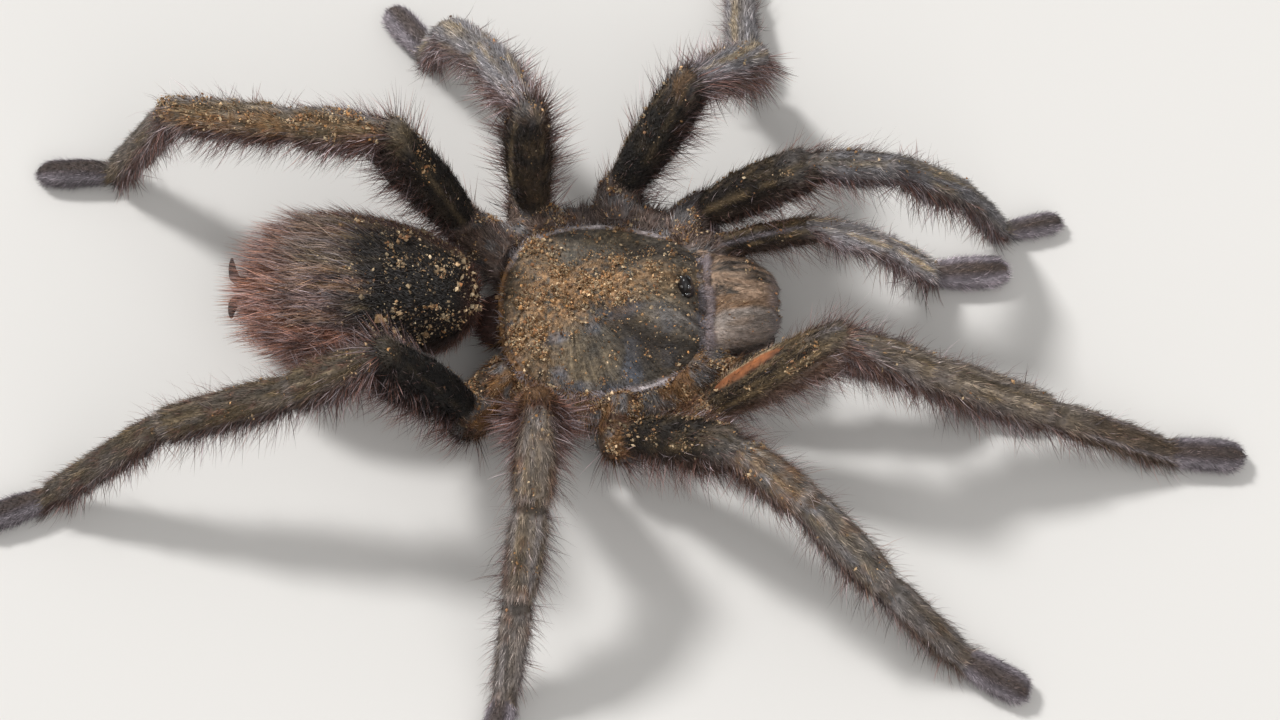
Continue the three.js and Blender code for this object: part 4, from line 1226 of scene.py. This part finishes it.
# %% Floor and lights
def plane(name, half, height):
    """A square grid of side 2 half at the given height."""
    side = np.linspace(-half, half, 9)
    x, y = np.meshgrid(side, side, indexing="ij")
    points = np.stack([x, y, np.full_like(x, height)], -1).reshape(-1, 3)
    row, column = np.meshgrid(np.arange(8), np.arange(8), indexing="ij")
    a = (row * 9 + column).ravel()
    faces = np.vstack([np.stack([a, a + 9, a + 10], -1), np.stack([a, a + 10, a + 1], -1)])
    return mesh_object(name, points, faces)


floor = plane("floor", 4.0, 0.0)
ground = bpy.data.materials.new("plain pale floor")
ground.use_nodes = True
tree = ground.node_tree
tree.nodes["Principled BSDF"].inputs["Roughness"].default_value = 0.9
path, seen, anyway, tone = (tree.nodes.new(f"ShaderNode{kind}")
                            for kind in ("LightPath", "Math", "Math", "Mix"))
seen.operation = anyway.operation = "MAXIMUM"
tone.data_type = "RGBA"
tone.inputs[6].default_value, tone.inputs[7].default_value = (0.30, 0.28, 0.26, 1), (0.78, 0.76, 0.73, 1)
tree.links.new(path.outputs["Is Camera Ray"], seen.inputs[0])
tree.links.new(path.outputs["Is Glossy Ray"], seen.inputs[1])
tree.links.new(seen.outputs[0], anyway.inputs[0])
tree.links.new(path.outputs["Is Transmission Ray"], anyway.inputs[1])
tree.links.new(anyway.outputs[0], tone.inputs[0])
tree.links.new(tone.outputs[2], tree.nodes["Principled BSDF"].inputs["Base Color"])
floor.data.materials.append(ground)

scene = bpy.context.scene
world = bpy.data.worlds.new("soft studio")
world.use_nodes = True
world.node_tree.nodes["Background"].inputs["Color"].default_value = (1, 1, 1, 1)
world.node_tree.nodes["Background"].inputs["Strength"].default_value = 0.42
scene.world = world


def lamp(name, direction, strength, angle):
    """A sun that shines from the given direction, its width in degrees giving the softness of its shadows."""
    light = bpy.data.lights.new(name, "SUN")
    light.energy, light.angle = strength, math.radians(angle)
    holder = bpy.data.objects.new(name, light)
    holder.rotation_euler = Vector(direction).to_track_quat("Z", "Y").to_euler()
    scene.collection.objects.link(holder)


lamp("key", (-0.6, 0.55, 0.8), 2.3, 10)
lamp("fill", (0.35, -0.8, 0.75), 0.9, 60)

# %% Camera
ELEVATION, AZIMUTH, DISTANCE = math.radians(61.0), math.radians(-1.7), 0.450
target = Vector((MIDDLE[0] + 3.674 * MM, MIDDLE[1] - 3.575 * MM, 3.0 * MM))
back = Vector((math.sin(AZIMUTH) * math.cos(ELEVATION),
               -math.cos(AZIMUTH) * math.cos(ELEVATION), math.sin(ELEVATION)))
camera = bpy.data.objects.new("camera", bpy.data.cameras.new("camera"))
camera.location = target + DISTANCE * back
camera.rotation_euler = back.to_track_quat("Z", "Y").to_euler()
camera.data.lens, camera.data.sensor_width = 144.15, 36
camera.data.clip_start, camera.data.clip_end = 0.01, 20
scene.collection.objects.link(camera)
scene.camera = camera
scene.view_settings.view_transform = "Standard"
